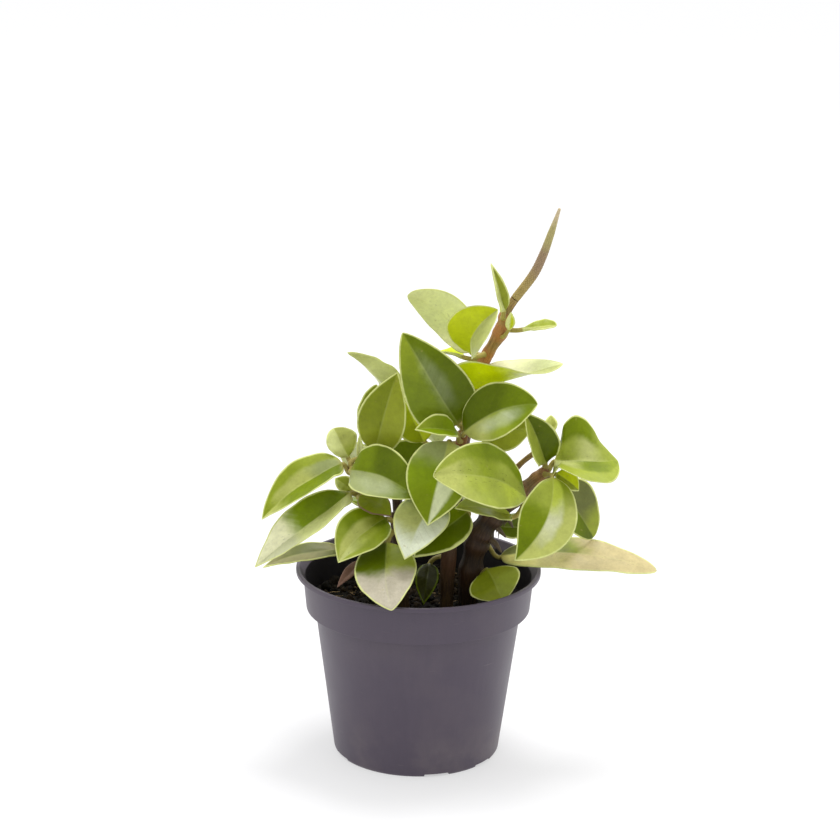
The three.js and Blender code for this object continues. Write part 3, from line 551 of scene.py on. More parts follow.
class PotLook(bpy.types.PropertyGroup):
    """The pot's moulded plastic."""

    plastic: colour_property("Plastic", "Colour of the moulded plastic", 75, 66, 80)
    # Painted shade: the near-black colour that the inside of the wall above the soil is darkened towards
    inner_wall_shade: colour_property("Stain", "Damp soil on the inside of the wall", 12, 10, 11)
    dust: colour_property("Dust", "Dry soil dust on the lower wall and inside", 128, 118, 116)
    facets: bpy.props.IntProperty(
        name="Facets", description="Flat steps round the wall", default=180, min=48, max=360
    )
    rounding: length_property("Edge rounding", "Radius of the moulded edges", 0.3)


class SoilLook(bpy.types.PropertyGroup):
    """The potting soil."""

    dark: colour_property("Peat", "Damp peat between the crumbs", 18, 14, 10)
    light: colour_property("Crumbs", "The drier crumbs and wood bits", 56, 44, 30)
    fibre: colour_property("Fibres", "Fine dry roots in the soil", 172, 146, 112)
    crumbs: bpy.props.IntProperty(
        name="Crumbs", description="How many crumbs lie on the soil", default=760, min=0, max=1200
    )
    crumb_size: length_property("Crumb size", "Width of a middling crumb", 2.0)


class StemLook(bpy.types.PropertyGroup):
    """Bark of the stems, the trunk and the flower spike."""

    bark: colour_property("Bark", "Young stems", 172, 136, 84)
    joint: colour_property("Joints", "Rings where the leaves grow from a stem", 182, 116, 66)
    furrow: colour_property("Furrows", "Furrows of the young stems", 124, 94, 60)
    shade: colour_property("Old bark", "Furrows of the thick old stem", 72, 52, 30)
    green: colour_property("Green bark", "The youngest green ends", 172, 160, 88)
    root: colour_property("Air roots", "Roots that leave the thick stem", 196, 168, 132)
    spike_low: colour_property("Spike foot", "Lower part of the flower spike", 168, 146, 80)
    spike_middle: colour_property("Spike middle", "Middle of the flower spike", 152, 126, 98)
    spike_upper: colour_property("Upper spike", "Flower spike below its tip", 176, 166, 104)
    spike_tip: colour_property("Spike tip", "Tip of the flower spike", 212, 194, 156)
    # Painted shade: how dark the lower stems are painted, standing for the shade under the leaves
    low_shade: share_property("Old growth", "Brightness of the damp lower stems", 0.18)
    swelling: share_property("Swelling", "How much a stem widens at a leaf", 0.26)


class LeafLook(bpy.types.PropertyGroup):
    """Shape details and colours of the fleshy leaves."""

    groove: length_property("Midrib groove", "Depth of the groove over the midrib", 0.35)
    keel: length_property("Midrib keel", "Height of the midrib on the underside", 0.35)
    ripple: length_property("Ripple", "Unevenness of the blade", 0.12)
    edge_wave: length_property("Margin wave", "How far the margin waves up and down", 0.22)
    margin_width: length_property("Margin width", "Width of the pale line along the margin", 0.75)
    margin: colour_property("Margin", "The thin pale line along the margins", 212, 218, 140)
    # Painted shade: a near-black green for leaves deep inside the plant
    night: colour_property("Night green", "Leaves deep inside the plant", 40, 42, 4)
    deep: colour_property("Deep green", "Darkest sides of grown leaves", 88, 104, 0)
    forest: colour_property("Forest green", "Dark sides of grown leaves", 102, 120, 2)
    green: colour_property("Green", "Most grown leaves", 114, 132, 6)
    grass: colour_property("Grass green", "Duller grown leaves", 114, 131, 26)
    fresh: colour_property("Fresh green", "Bright grown leaves", 124, 146, 12)
    spring: colour_property("Spring green", "Light sides of grown leaves", 138, 153, 36)
    yellow_green: colour_property("Yellow green", "Sunlit old leaves", 156, 168, 58)
    lime_soft: colour_property("Soft lime", "Lightest part of sunlit leaves", 182, 196, 68)
    moss: colour_property("Moss", "Leaf halves with a thin bloom", 152, 164, 60)
    olive: colour_property("Olive", "Shaded young leaves", 142, 151, 40)
    olive_green: colour_property("Olive green", "Dull grown leaves", 122, 133, 22)
    olive_lime: colour_property("Olive lime", "Inner leaves with light behind them", 150, 162, 12)
    lime: colour_property("Lime", "Young leaves with light behind them", 196, 208, 30)
    leaf_glow: colour_property("Glowing lime", "Underside with light behind it", 198, 213, 4)
    pale_olive: colour_property("Pale olive", "Dull pale leaves", 176, 182, 96)
    pale_green: colour_property("Pale green", "Pale halves of grown leaves", 184, 190, 116)
    pale: colour_property("Pale lime", "Young leaves and undersides", 212, 218, 148)
    mint: colour_property("Mint", "Underside of the top leaf", 228, 235, 172)
    cream: colour_property("Cream", "Palest young leaves", 242, 242, 198)
    grey_green: colour_property("Grey green", "Leaf halves with a waxy bloom", 152, 161, 102)
    grey_pale: colour_property("Pale grey green", "Low leaves with a strong bloom", 202, 209, 164)
    grey_dark: colour_property("Dark grey green", "Shaded leaf with a bloom", 112, 117, 68)
    frost: colour_property("Frost", "Thickest bloom on a low leaf", 216, 222, 196)
    bleached: colour_property("Bleached", "Faded old leaf ends", 182, 174, 152)
    bleached_green: colour_property("Bleached green", "Half-faded leaf ends", 196, 199, 158)
    straw: colour_property("Straw", "The faded long leaf", 202, 187, 137)
    straw_green: colour_property("Green straw", "Its greener base", 206, 201, 122)
    pinkish: colour_property("Pinkish", "Dull side of old leaves", 150, 146, 102)
    dried: colour_property("Dried", "Dried margins and leaves", 128, 98, 84)
    # Painted highlight: the pale colour that stands for the soft light's gloss on the upper side of the
    # leaves
    bloom: colour_property("Bloom", "Waxy bloom on the upper side", 206, 212, 184)
    stalk: colour_property("Stalks", "Leaf stalks", 164, 152, 84)


class StudioLook(bpy.types.PropertyGroup):
    """Floor, light and camera."""

    floor: colour_property("Floor", "Plain floor", 178, 178, 179)
    floor_glow: share_property("Floor glow", "Light that the pale floor gives off", 0.5)
    surroundings: share_property("Surroundings", "Brightness of the walls around", 1.0, 4.0)
    front_shade: share_property("Front", "Brightness of the room behind the camera", 0.6)
    ceiling: share_property("Ceiling", "Brightness overhead", 1.3, 4.0)
    lamp_power: bpy.props.FloatProperty(
        name="Lamp", description="Power of the soft lamp overhead", default=7.0, min=0, unit="POWER"
    )
    lamp_width: length_property("Lamp width", "Width of the soft lamp", 420)
    lens: bpy.props.FloatProperty(
        name="Lens", description="Focal length", default=111.05, min=20, unit="CAMERA"
    )


# ---------------------------------------------------------------- curves and lofts


def unit(vector):
    """The vector with length 1."""
    return vector / np.linalg.norm(vector)


def across(vector, axis):
    """The part of a vector at right angles to a unit axis, with length 1."""
    return unit(vector - axis * np.dot(vector, axis))


def blend(a, b, share):
    """A value from a at share 0 to b at share 1."""
    return a + (b - a) * share


def smooth_step(low, high, value):
    """A smooth rise from 0 at the low value to 1 at the high one."""
    share = np.clip((value - low) / (high - low), 0, 1)
    return share * share * (3 - 2 * share)


def hermite(start, start_pull, end, end_pull, t):
    """Point and unit tangent of a curve between two points with a pull at each end."""
    t2, t3 = t * t, t * t * t
    point = (
        start * (2 * t3 - 3 * t2 + 1)
        + start_pull * (t3 - 2 * t2 + t)
        + end * (3 * t2 - 2 * t3)
        + end_pull * (t3 - t2)
    )
    tangent = (
        (start - end) * (6 * t2 - 6 * t)
        + start_pull * (3 * t2 - 4 * t + 1)
        + end_pull * (3 * t2 - 2 * t)
    )
    return point, tangent / (np.linalg.norm(tangent) + 1e-12)


def curve_at(points, t):
    """Point and unit tangent of a smooth curve through all the points, t running from 0 to 1."""
    points = np.asarray(points, float)
    last = len(points) - 1
    place = min(max(t, 0), 1) * last
    i = min(int(place), last - 1)
    before = points[i - 1] if i > 0 else 2 * points[i] - points[i + 1]
    after = points[i + 2] if i + 2 <= last else 2 * points[i + 1] - points[i]
    start_pull = (points[i + 1] - before) / 2
    end_pull = (after - points[i]) / 2
    return hermite(points[i], start_pull, points[i + 1], end_pull, place - i)


def step_values(values, t):
    """A value between evenly spaced ones, t running from 0 at the first to 1 at the last."""
    return float(np.interp(t * (len(values) - 1), range(len(values)), values))


def loft(rings, start, end):
    """Points and faces of a closed skin over rings of points, with a point at each end."""
    rings = np.asarray(rings)
    count, sides = rings.shape[:2]
    points = np.vstack([rings.reshape(-1, 3), start, end])
    first, last = len(points) - 2, len(points) - 1
    top = (count - 1) * sides
    faces = []
    for k in range(sides):
        following = (k + 1) % sides
        faces.append((first, following, k))
        faces.append((last, top + k, top + following))
        for row in range(count - 1):
            low = row * sides
            high = low + sides
            faces.append((low + k, low + following, high + following, high + k))
    corners = np.array([points[list(face[:3])] for face in faces])
    volume = np.einsum("ij,ij->i", corners[:, 0], np.cross(corners[:, 1], corners[:, 2])).sum()
    if volume < 0:
        faces = [face[::-1] for face in faces]
    return points, faces


def join(shapes):
    """One list of points and faces from several."""
    points, faces, shift = [], [], 0
    for shape_points, shape_faces in shapes:
        points.append(shape_points)
        faces += [tuple(index + shift for index in face) for face in shape_faces]
        shift += len(shape_points)
    return np.vstack(points), faces


def tube(path, radii, sides=10, steps=12):
    """A closed round tube along a smooth curve."""
    side = None
    rings = []
    for i in range(steps + 1):
        t = i / steps
        point, tangent = curve_at(path, t)
        side = across(np.array([0.3, 0.2, 1.0]) if side is None else side, tangent)
        other = np.cross(tangent, side)
        angle = np.arange(sides) * 2 * math.pi / sides
        radius = step_values(radii, t)
        rings.append(
            point + radius * (np.outer(np.cos(angle), side) + np.outer(np.sin(angle), other))
        )
    return loft(rings, curve_at(path, 0)[0], curve_at(path, 1)[0])


def plain_object(name, shape):
    """An object from points in millimetres and faces."""
    mesh = bpy.data.meshes.new(name)
    mesh.from_pydata((np.asarray(shape[0]) * MM).tolist(), [], shape[1])
    mesh.update()
    made = bpy.data.objects.new(name, mesh)
    bpy.context.scene.collection.objects.link(made)
    return made


def make_piece(name, node, shape, attributes):
    """A smooth object from points in millimetres, riding on the root and standing for its node."""
    piece = plain_object(name, shape)
    mesh = piece.data
    mesh.shade_smooth()
    for key, values in attributes.items():
        values = np.asarray(values, np.float32)
        kind = "FLOAT_VECTOR" if values.ndim == 2 else "FLOAT"
        layer = mesh.attributes.new(key, kind, "POINT")
        layer.data.foreach_set("vector" if values.ndim == 2 else "value", values.ravel())
    place_piece(piece, node)
    return piece


def place_piece(piece, node):
    """Ties a piece to the root and hides the node that it stands for."""
    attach(piece, "root")
    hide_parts(node)


# ---------------------------------------------------------------- materials


def linear(colour):
    """Screen colour to the linear colour that a shader takes."""
    return tuple(c / 12.92 if c <= 0.04045 else ((c + 0.055) / 1.055) ** 2.4 for c in colour) + (1,)


class Nodes:
    """Adds nodes to one tree. Each call returns an output socket."""

    def __init__(self, tree):
        self.tree = tree
        self.count = 0

    def put(self, socket, value):
        if isinstance(value, bpy.types.NodeSocket):
            self.tree.links.new(value, socket)
        else:
            socket.default_value = value

    def add(self, kind, inputs, output=0, **settings):
        node = self.tree.nodes.new("ShaderNode" + kind)
        node.location = (200 * (self.count // 6) - 2400, -180 * (self.count % 6))
        self.count += 1
        for key, value in settings.items():
            setattr(node, key, value)
        for key, value in inputs.items():
            self.put(node.inputs[key], value)
        return node.outputs[output]

    def math(self, operation, a, b=0.0):
        return self.add("Math", {0: a, 1: b}, operation=operation)

    def times(self, a, b):
        return self.math("MULTIPLY", a, b)

    def plus(self, a, b):
        return self.math("ADD", a, b)

    def minus(self, a, b):
        return self.math("SUBTRACT", a, b)

    def swing(self, noise, width):
        """A noise between 0 and 1 as a swing about 0."""
        return self.times(self.minus(noise, 0.5), width)

    def mix(self, share, a, b):
        return self.add("Mix", {0: share, 6: a, 7: b}, output=2, data_type="RGBA")

    def step(self, value, low, high, from_value=0.0, to_value=1.0):
        inputs = {0: value, 1: low, 2: high, 3: from_value, 4: to_value}
        return self.add("MapRange", inputs, interpolation_type="SMOOTHSTEP")

    def noise(self, vector, scale, detail=2.0, roughness=0.5):
        inputs = {"Vector": vector, "Scale": scale, "Detail": detail, "Roughness": roughness}
        return self.add("TexNoise", inputs)

    def stretch(self, vector, shift, scale):
        return self.add("Mapping", {"Vector": vector, "Location": shift, "Scale": scale})

    def brighten(self, colour, factor):
        """The colour times a grey factor."""
        grey = self.add("CombineColor", {0: factor, 1: factor, 2: factor})
        inputs = {0: 1.0, 6: colour, 7: grey}
        return self.add("Mix", inputs, output=2, data_type="RGBA", blend_type="MULTIPLY")

    def bump(self, height, distance, strength=1.0, under=None):
        inputs = {"Height": height, "Distance": distance, "Strength": strength}
        if under is not None:
            inputs["Normal"] = under
        return self.add("Bump", inputs)

    def place(self):
        return self.add("TexCoord", {}, output=3)

    def attribute(self, name, output=1):
        return self.add("Attribute", {}, output=output, attribute_name=name)

    def parts(self, vector):
        first = self.add("SeparateXYZ", {0: vector})
        return first.node.outputs


def new_material(name, specular):
    """A material with one Principled shader."""
    material = bpy.data.materials.new(name)
    material.use_nodes = True
    tree = material.node_tree
    shader = tree.nodes["Principled BSDF"]
    shader.inputs["Specular IOR Level"].default_value = specular
    return material, Nodes(tree), shader


def finish_material(nodes, shader, colour, roughness, normal):
    """Wires the three results of a material into its shader."""
    nodes.put(shader.inputs["Base Color"], colour)
    nodes.put(shader.inputs["Roughness"], roughness)
    nodes.put(shader.inputs["Normal"], normal)


LEAF_ZONES = ("Left", "Left Outer", "Right", "Right Outer", "Under")
ZONE_PARTS = ("Base", "Middle", "Tip")
LEAF_SOCKETS = (
    *((f"{zone} {part}", "NodeSocketColor") for zone in LEAF_ZONES for part in ZONE_PARTS),
    ("Middle From", "NodeSocketFloat"),
    ("Middle To", "NodeSocketFloat"),
    ("Tip From", "NodeSocketFloat"),
    ("Tip To", "NodeSocketFloat"),
    ("Margin", "NodeSocketColor"),
    ("Margin Width", "NodeSocketFloat"),
    ("Midrib", "NodeSocketFloat"),
    ("Veins", "NodeSocketFloat"),
    ("Mottle", "NodeSocketFloat"),
    ("Scratches", "NodeSocketFloat"),
    ("Bloom", "NodeSocketColor"),
    ("Bloom Strength", "NodeSocketFloat"),
    ("Bloom Side", "NodeSocketFloat"),
    ("Stalk", "NodeSocketColor"),
    ("Length", "NodeSocketFloat"),
    ("Seed", "NodeSocketVector"),
)


VEIN_SPACING = 3.4  # along the midrib, in millimetres


def leaf_skin():
    """The node group behind all leaf materials. It reads the blade attributes of the mesh."""
    tree = bpy.data.node_groups.new("Leaf Skin", "ShaderNodeTree")
    for name, kind in LEAF_SOCKETS:
        tree.interface.new_socket(name, in_out="INPUT", socket_type=kind)
    tree.interface.new_socket("Color", in_out="OUTPUT", socket_type="NodeSocketColor")
    tree.interface.new_socket("Roughness", in_out="OUTPUT", socket_type="NodeSocketFloat")
    tree.interface.new_socket("Normal", in_out="OUTPUT", socket_type="NodeSocketVector")
    nodes = Nodes(tree)
    given = tree.nodes.new("NodeGroupInput").outputs
    result = tree.nodes.new("NodeGroupOutput")

    side, along, edge = nodes.parts(nodes.attribute("blade"))[:3]
    upper = nodes.attribute("upper", output=2)
    place = nodes.add("VectorMath", {0: nodes.place(), 1: given["Seed"]}, operation="ADD")
    soft = nodes.noise(place, 75.0, 3.0, 0.55)
    cloud = nodes.noise(place, 210.0, 3.0, 0.6)
    grain = nodes.noise(place, 900.0, 3.0, 0.65)
    distance = nodes.math("ABSOLUTE", side)
    reach = nodes.plus(nodes.plus(distance, edge), 0.001)
    place_across = nodes.math("DIVIDE", side, reach)

    # Each half fades from its base colour over its middle to its tip colour, and has other
    # colours along its margin. The borders run out in streaks that follow the side veins.
    run = nodes.times(along, given["Length"])
    run = nodes.minus(run, nodes.times(distance, 0.95))
    streak_place = nodes.add("CombineXYZ", {0: run, 1: nodes.times(side, 0.09), 2: 0.0})
    streak_place = nodes.add("VectorMath", {0: streak_place, 1: given["Seed"]}, operation="ADD")
    streak = nodes.noise(streak_place, 0.55, 2.0, 0.55)
    wander = nodes.swing(soft, 0.45)
    wander = nodes.plus(wander, nodes.swing(streak, 0.06))
    drift = nodes.plus(along, wander)
    grown = nodes.step(drift, given["Middle From"], given["Middle To"])
    ended = nodes.step(drift, given["Tip From"], given["Tip To"])

    def faded(half):
        body = nodes.mix(grown, given[half + " Base"], given[half + " Middle"])
        return nodes.mix(ended, body, given[half + " Tip"])

    inward = nodes.plus(nodes.math("ABSOLUTE", place_across), wander)
    outer = nodes.step(inward, 0.4, 0.62)
    left = nodes.mix(outer, faded("Left"), faded("Left Outer"))
    right = nodes.mix(outer, faded("Right"), faded("Right Outer"))
    upper_colour = nodes.mix(nodes.step(side, -0.5, 0.5), left, right)

    # Painted highlight on the upper side: a long soft pale stripe in the bloom colour.
    off = nodes.minus(nodes.plus(place_across, wander), given["Bloom Side"])
    narrow = nodes.step(nodes.math("ABSOLUTE", off), 0.08, 0.42, 1.0, 0.0)
    window = nodes.times(nodes.step(along, 0.1, 0.35), nodes.step(along, 0.6, 0.9, 1.0, 0.0))
    highlight_patch = nodes.times(nodes.times(narrow, window), nodes.step(streak, 0.3, 0.7, 0.75, 1.0))
    highlight_patch = nodes.times(highlight_patch, given["Bloom Strength"])
    upper_colour = nodes.mix(highlight_patch, upper_colour, given["Bloom"])

    # Side veins leave the midrib and bend towards the tip.
    bent_run = nodes.plus(run, nodes.times(cloud, 1.6))
    wave = nodes.math("COSINE", nodes.times(bent_run, 2 * math.pi / VEIN_SPACING))
    vein = nodes.times(nodes.step(wave, 0.86, 1.0), nodes.step(edge, 0.6, 2.4))
    vein = nodes.times(vein, nodes.step(distance, 0.3, 1.2))
    vein = nodes.times(vein, given["Veins"])
    upper_colour = nodes.mix(nodes.times(vein, 0.55), upper_colour, given["Stalk"])
    rib = nodes.times(nodes.step(distance, 0.12, 0.5, 1.0, 0.0), given["Midrib"])
    rib = nodes.times(rib, nodes.step(along, 0.7, 1.0, 1.0, 0.15))
    upper_colour = nodes.mix(rib, upper_colour, given["Margin"])

    # Underside, margin, stalk and the fine mottling over all of them.
    lower_colour = nodes.mix(nodes.times(rib, 0.5), faded("Under"), given["Stalk"])
    colour = nodes.mix(nodes.step(upper, -0.35, 0.35), lower_colour, upper_colour)
    wide = nodes.times(given["Margin Width"], nodes.plus(cloud, 0.6))
    line = nodes.step(edge, nodes.times(wide, 0.4), wide, 1.0, 0.0)
    colour = nodes.mix(nodes.times(line, 0.92), colour, given["Margin"])
    colour = nodes.mix(nodes.step(along, -0.05, 0.06, 1.0, 0.0), colour, given["Stalk"])
    swing = nodes.swing(cloud, given["Mottle"])
    swing = nodes.plus(swing, nodes.swing(grain, 0.3))
    colour = nodes.brighten(colour, nodes.plus(swing, 1.0))
    speck = nodes.step(nodes.noise(place, 520.0, 1.0), 0.74, 0.8)
    colour = nodes.mix(nodes.times(speck, 0.35), colour, given["Stalk"])

    # Short dark scratches, mostly beside the midrib.
    scratch_place = nodes.add("CombineXYZ", {0: nodes.times(run, 0.32), 1: side, 2: 0.0})
    scratch_place = nodes.add("VectorMath", {0: scratch_place, 1: given["Seed"]}, operation="ADD")
    scratch = nodes.step(nodes.noise(scratch_place, 1.5, 2.0, 0.6), 0.63, 0.7)
    scratch = nodes.times(scratch, nodes.step(distance, 1.0, 5.0, 1.0, 0.15))
    scratch = nodes.times(scratch, given["Scratches"])
    colour = nodes.brighten(colour, nodes.minus(1.0, scratch))

    rough = nodes.plus(nodes.times(cloud, 0.16), 0.26)
    rough = nodes.plus(rough, nodes.times(highlight_patch, 0.12))
    relief = nodes.times(vein, -0.5)
    relief = nodes.plus(relief, nodes.times(cloud, 1.1))
    relief = nodes.plus(relief, nodes.times(grain, 0.18))
    normal = nodes.bump(relief, 0.00025, 0.8)
    for key, value in (("Color", colour), ("Roughness", rough), ("Normal", normal)):
        nodes.put(result.inputs[key], value)
    return tree


def leaf_material(name, leaf_paint, length, seed, look):
    """One leaf's material: its own colours in the common leaf skin."""
    paint = dict(PAINT_DEFAULTS, **leaf_paint)

    def colours(names):
        names = (names,) * len(ZONE_PARTS) if isinstance(names, str) else names
        return [linear(getattr(look, colour_name)) for colour_name in names]

    values = {}
    for zone in LEAF_ZONES:
        half = paint[zone.split()[0].lower()]
        zone_colours = colours(paint.get(zone.lower().replace(" ", "_"), half))
        values.update({f"{zone} {part}": colour for part, colour in zip(ZONE_PARTS, zone_colours)})
    values["Middle From"], values["Middle To"] = paint["begin"]
    values["Tip From"], values["Tip To"] = paint["fade"]
    values["Margin"] = linear(getattr(look, paint["margin"]))
    values["Stalk"] = linear(getattr(look, paint["stalk"]))
    values["Bloom"] = linear(look.bloom)
    values["Bloom Strength"] = paint["bloom"]
    values["Margin Width"] = look.margin_width / MM * paint["edge"]
    values["Length"] = length
    values["Seed"] = seed
    for key in ("midrib", "veins", "mottle", "scratches", "bloom_side"):
        values[key.replace("_", " ").title()] = paint[key]

    material, nodes, shader = new_material(name + " skin", specular=0.14)
    skin = nodes.tree.nodes.new("ShaderNodeGroup")
    skin.node_tree = bpy.data.node_groups.get("Leaf Skin") or leaf_skin()
    for key, value in values.items():
        skin.inputs[key].default_value = value
    finish_material(nodes, shader, skin.outputs[0], skin.outputs[1], skin.outputs[2])
    return material


def pot_material(look):
    """Matt moulded plastic with fine wear, dust low on the wall and painted shade on the inside of the
    wall.
    """
    material, nodes, shader = new_material("Pot plastic", specular=0.42)
    place = nodes.place()
    cloud = nodes.noise(place, 38.0, 4.0, 0.55)
    grain = nodes.noise(place, 2600.0, 2.0, 0.6)
    streaks = nodes.noise(nodes.stretch(place, (0, 0, 0), (1, 1, 0.06)), 420.0, 3.0, 0.6)
    height = nodes.parts(place)[2]
    low = nodes.step(height, 0.0, 0.022, 1.0, 0.0)
    dusty = nodes.times(nodes.step(cloud, 0.42, 0.7), nodes.plus(low, 0.25))
    dusty = nodes.times(dusty, 0.32)
    colour = nodes.mix(dusty, linear(look.plastic), linear(look.dust))
    swing = nodes.swing(streaks, 0.14)
    swing = nodes.plus(swing, nodes.swing(grain, 0.12))
    colour = nodes.brighten(colour, nodes.plus(swing, 1.0))
    scuff = nodes.noise(nodes.stretch(place, (3, 1, 2), (0.3, 0.3, 5.0)), 300.0, 2.0)
    colour = nodes.mix(nodes.step(scuff, 0.72, 0.8, 0.0, 0.3), colour, linear(look.dust))
    # Painted shade: the inside of the wall, from about 5 cm up, is mixed towards a near-black colour, most
    # strongly low down.
    outward = nodes.add("NewGeometry", {}, output=1)
    facing = nodes.add("VectorMath", {0: outward, 1: place}, output=1, operation="DOT_PRODUCT")
    above_floor = nodes.step(height, 0.05, 0.056)
    inner = nodes.times(nodes.step(facing, -0.012, -0.004, 1.0, 0.0), above_floor)
    uneven_height = nodes.plus(height, nodes.times(cloud, 0.006))
    inner_wall_shade = nodes.step(uneven_height, 0.068, 0.075, 0.92, 0.5)
    colour = nodes.mix(nodes.times(inner, inner_wall_shade), colour, linear(look.inner_wall_shade))
    rough = nodes.plus(nodes.times(cloud, 0.22), 0.33)
    relief = nodes.plus(nodes.times(grain, 0.5), nodes.times(streaks, 0.5))
    finish_material(nodes, shader, colour, rough, nodes.bump(relief, 0.0001, 0.5))
    return material


def soil_material(look):
    """Damp peat with drier crumbs. The mesh says how dry each crumb is."""
    material, nodes, shader = new_material("Potting soil", specular=0.2)
    place = nodes.place()
    tone = nodes.attribute("tone", output=2)
    cloud = nodes.noise(place, 260.0, 4.0, 0.65)
    grain = nodes.noise(place, 1800.0, 4.0, 0.7)
    dry = nodes.plus(tone, nodes.swing(cloud, 0.7))
    colour = nodes.mix(nodes.step(dry, 0.0, 1.0), linear(look.dark), linear(look.light))
    colour = nodes.mix(nodes.step(tone, 1.4, 1.6), colour, linear(look.fibre))
    colour = nodes.brighten(colour, nodes.step(grain, 0.2, 0.8, 0.55, 1.5))
    rough = nodes.step(cloud, 0.2, 0.8, 0.7, 0.95)
    relief = nodes.plus(nodes.times(cloud, 0.5), grain)
    finish_material(nodes, shader, colour, rough, nodes.bump(relief, 0.0005, 0.9))
    return material


# The three barks. "ridge" and "furrow" name colours of StemLook, "green" and "joint" are the shares
# of the green and the redder joint colour, "low" is the brightness of the painted shade low down
# over the common one, and "light" gives the heights, in metres, between which it ends.
BARKS = {
    "Stem bark": {
        "ridge": "bark", "furrow": "furrow", "green": 0.6, "joint": 0.75,
        "low": 1, "light": (0.1, 0.142),
    },
    "Fork bark": {
        "ridge": "bark", "furrow": "furrow", "green": 0.7, "joint": 0.4,
        "low": 1, "light": (0.09, 0.105),
    },
    "Old bark": {
        "ridge": "furrow", "furrow": "shade", "green": 0.2, "joint": 0.3,
        "low": 1.1, "light": (0.09, 0.106),
    },
}


def bark_material(name, look):
    """Fleshy bark with fine furrows, redder rings at the leaves and green youngest ends."""
    bark = BARKS[name]
    ridge = linear(getattr(look, bark["ridge"]))
    furrow = linear(getattr(look, bark["furrow"]))
    low_shade = look.low_shade * bark["low"]
    material, nodes, shader = new_material(name, specular=0.35)
    grain_place = nodes.attribute("bark")
    near_joint = nodes.attribute("joint", output=2)
    age = nodes.attribute("young", output=2)
    streak = nodes.noise(nodes.stretch(grain_place, (0, 0, 0), (1, 1, 0.12)), 1.6, 4.0, 0.6)
    cloud = nodes.noise(grain_place, 0.22, 3.0, 0.6)
    grain = nodes.noise(grain_place, 4.5, 3.0, 0.65)
    colour = nodes.mix(nodes.step(streak, 0.36, 0.66), furrow, ridge)
    green = nodes.times(nodes.step(age, 0.25, 1.0), nodes.step(cloud, 0.3, 0.7))
    colour = nodes.mix(nodes.times(green, bark["green"]), colour, linear(look.green))
    colour = nodes.mix(nodes.times(near_joint, bark["joint"]), colour, linear(look.joint))
    colour = nodes.mix(nodes.step(age, 1.4, 1.6), colour, linear(look.root))
    colour = nodes.brighten(colour, nodes.step(grain, 0.25, 0.75, 0.72, 1.25))
    # Painted shade: the bark is darkened low on the stems, under the leaves, and lightens between two
    # heights.
    height = nodes.parts(nodes.place())[2]
    colour = nodes.brighten(colour, nodes.step(height, *bark["light"], low_shade, 1.0))
    rough = nodes.step(streak, 0.3, 0.7, 0.62, 0.42)
    relief = nodes.plus(streak, nodes.times(grain, 0.35))
    finish_material(nodes, shader, colour, rough, nodes.bump(relief, 0.0004, 0.8))
    return material


def spike_material(look):
    """The flower spike: olive at its foot, grey-purple in the middle, beige at its tip."""
    material, nodes, shader = new_material("Flower spike", specular=0.3)
    along = nodes.parts(nodes.attribute("bark"))[2]
    bead = nodes.attribute("joint", output=2)
    cloud = nodes.noise(nodes.place(), 420.0, 3.0, 0.6)
    grain = nodes.noise(nodes.place(), 2600.0, 3.0, 0.6)
    place = nodes.plus(along, nodes.times(cloud, 6.0))
    colour = nodes.mix(nodes.step(place, 9.0, 19.0), linear(look.spike_low), linear(look.spike_middle))
    colour = nodes.mix(nodes.step(place, 22.0, 28.0), colour, linear(look.spike_upper))
    colour = nodes.mix(nodes.step(place, 32.0, 38.0), colour, linear(look.spike_tip))
    colour = nodes.mix(nodes.times(bead, 0.35), colour, linear(look.spike_tip))
    colour = nodes.brighten(colour, nodes.step(grain, 0.25, 0.75, 0.75, 1.2))
    finish_material(nodes, shader, colour, 0.6, nodes.bump(grain, 0.0003, 0.8))
    return material


def floor_material(look):
    """The plain floor, which gives off a little light of its own."""
    material, nodes, shader = new_material("Studio floor", specular=0.0)
    shader.inputs["Emission Color"].default_value = (1, 1, 1, 1)
    shader.inputs["Emission Strength"].default_value = look.floor_glow
    grain = nodes.noise(nodes.place(), 60.0, 4.0, 0.6)
    colour = nodes.brighten(linear(look.floor), nodes.step(grain, 0.2, 0.8, 0.992, 1.0))
    finish_material(nodes, shader, colour, 0.6, nodes.bump(grain, 0.00005, 0.2))
    return material


# ---------------------------------------------------------------- leaves

SECTION = (1.0, 0.965, 0.9, 0.8, 0.67, 0.51, 0.36, 0.22, 0.1, 0.0)  # places from margin to midrib
BLADE_RINGS = 44
STALK_RINGS = 10
STALK_GAP = 0.3  # the frame keeps this gap between a stem and a stalk
STALK_ROOT = 0.7  # how deep the visible stalk starts under the bark, to close that gap
STALK_FLARE = 0.45  # how much wider a stalk is at its stem
STALK_FLARE_LENGTH = 0.9
STALK_TAPER = 0.95
FOLD_START = 0.12  # share of the blade over which its fold comes in
BLADE_START = 0.25  # share of the blade over which it grows out of the stalk
BLADE_END = 0.992  # the last ring, just before the tip
MIDRIB_EASE = 0.06  # rounds the fold along the midrib


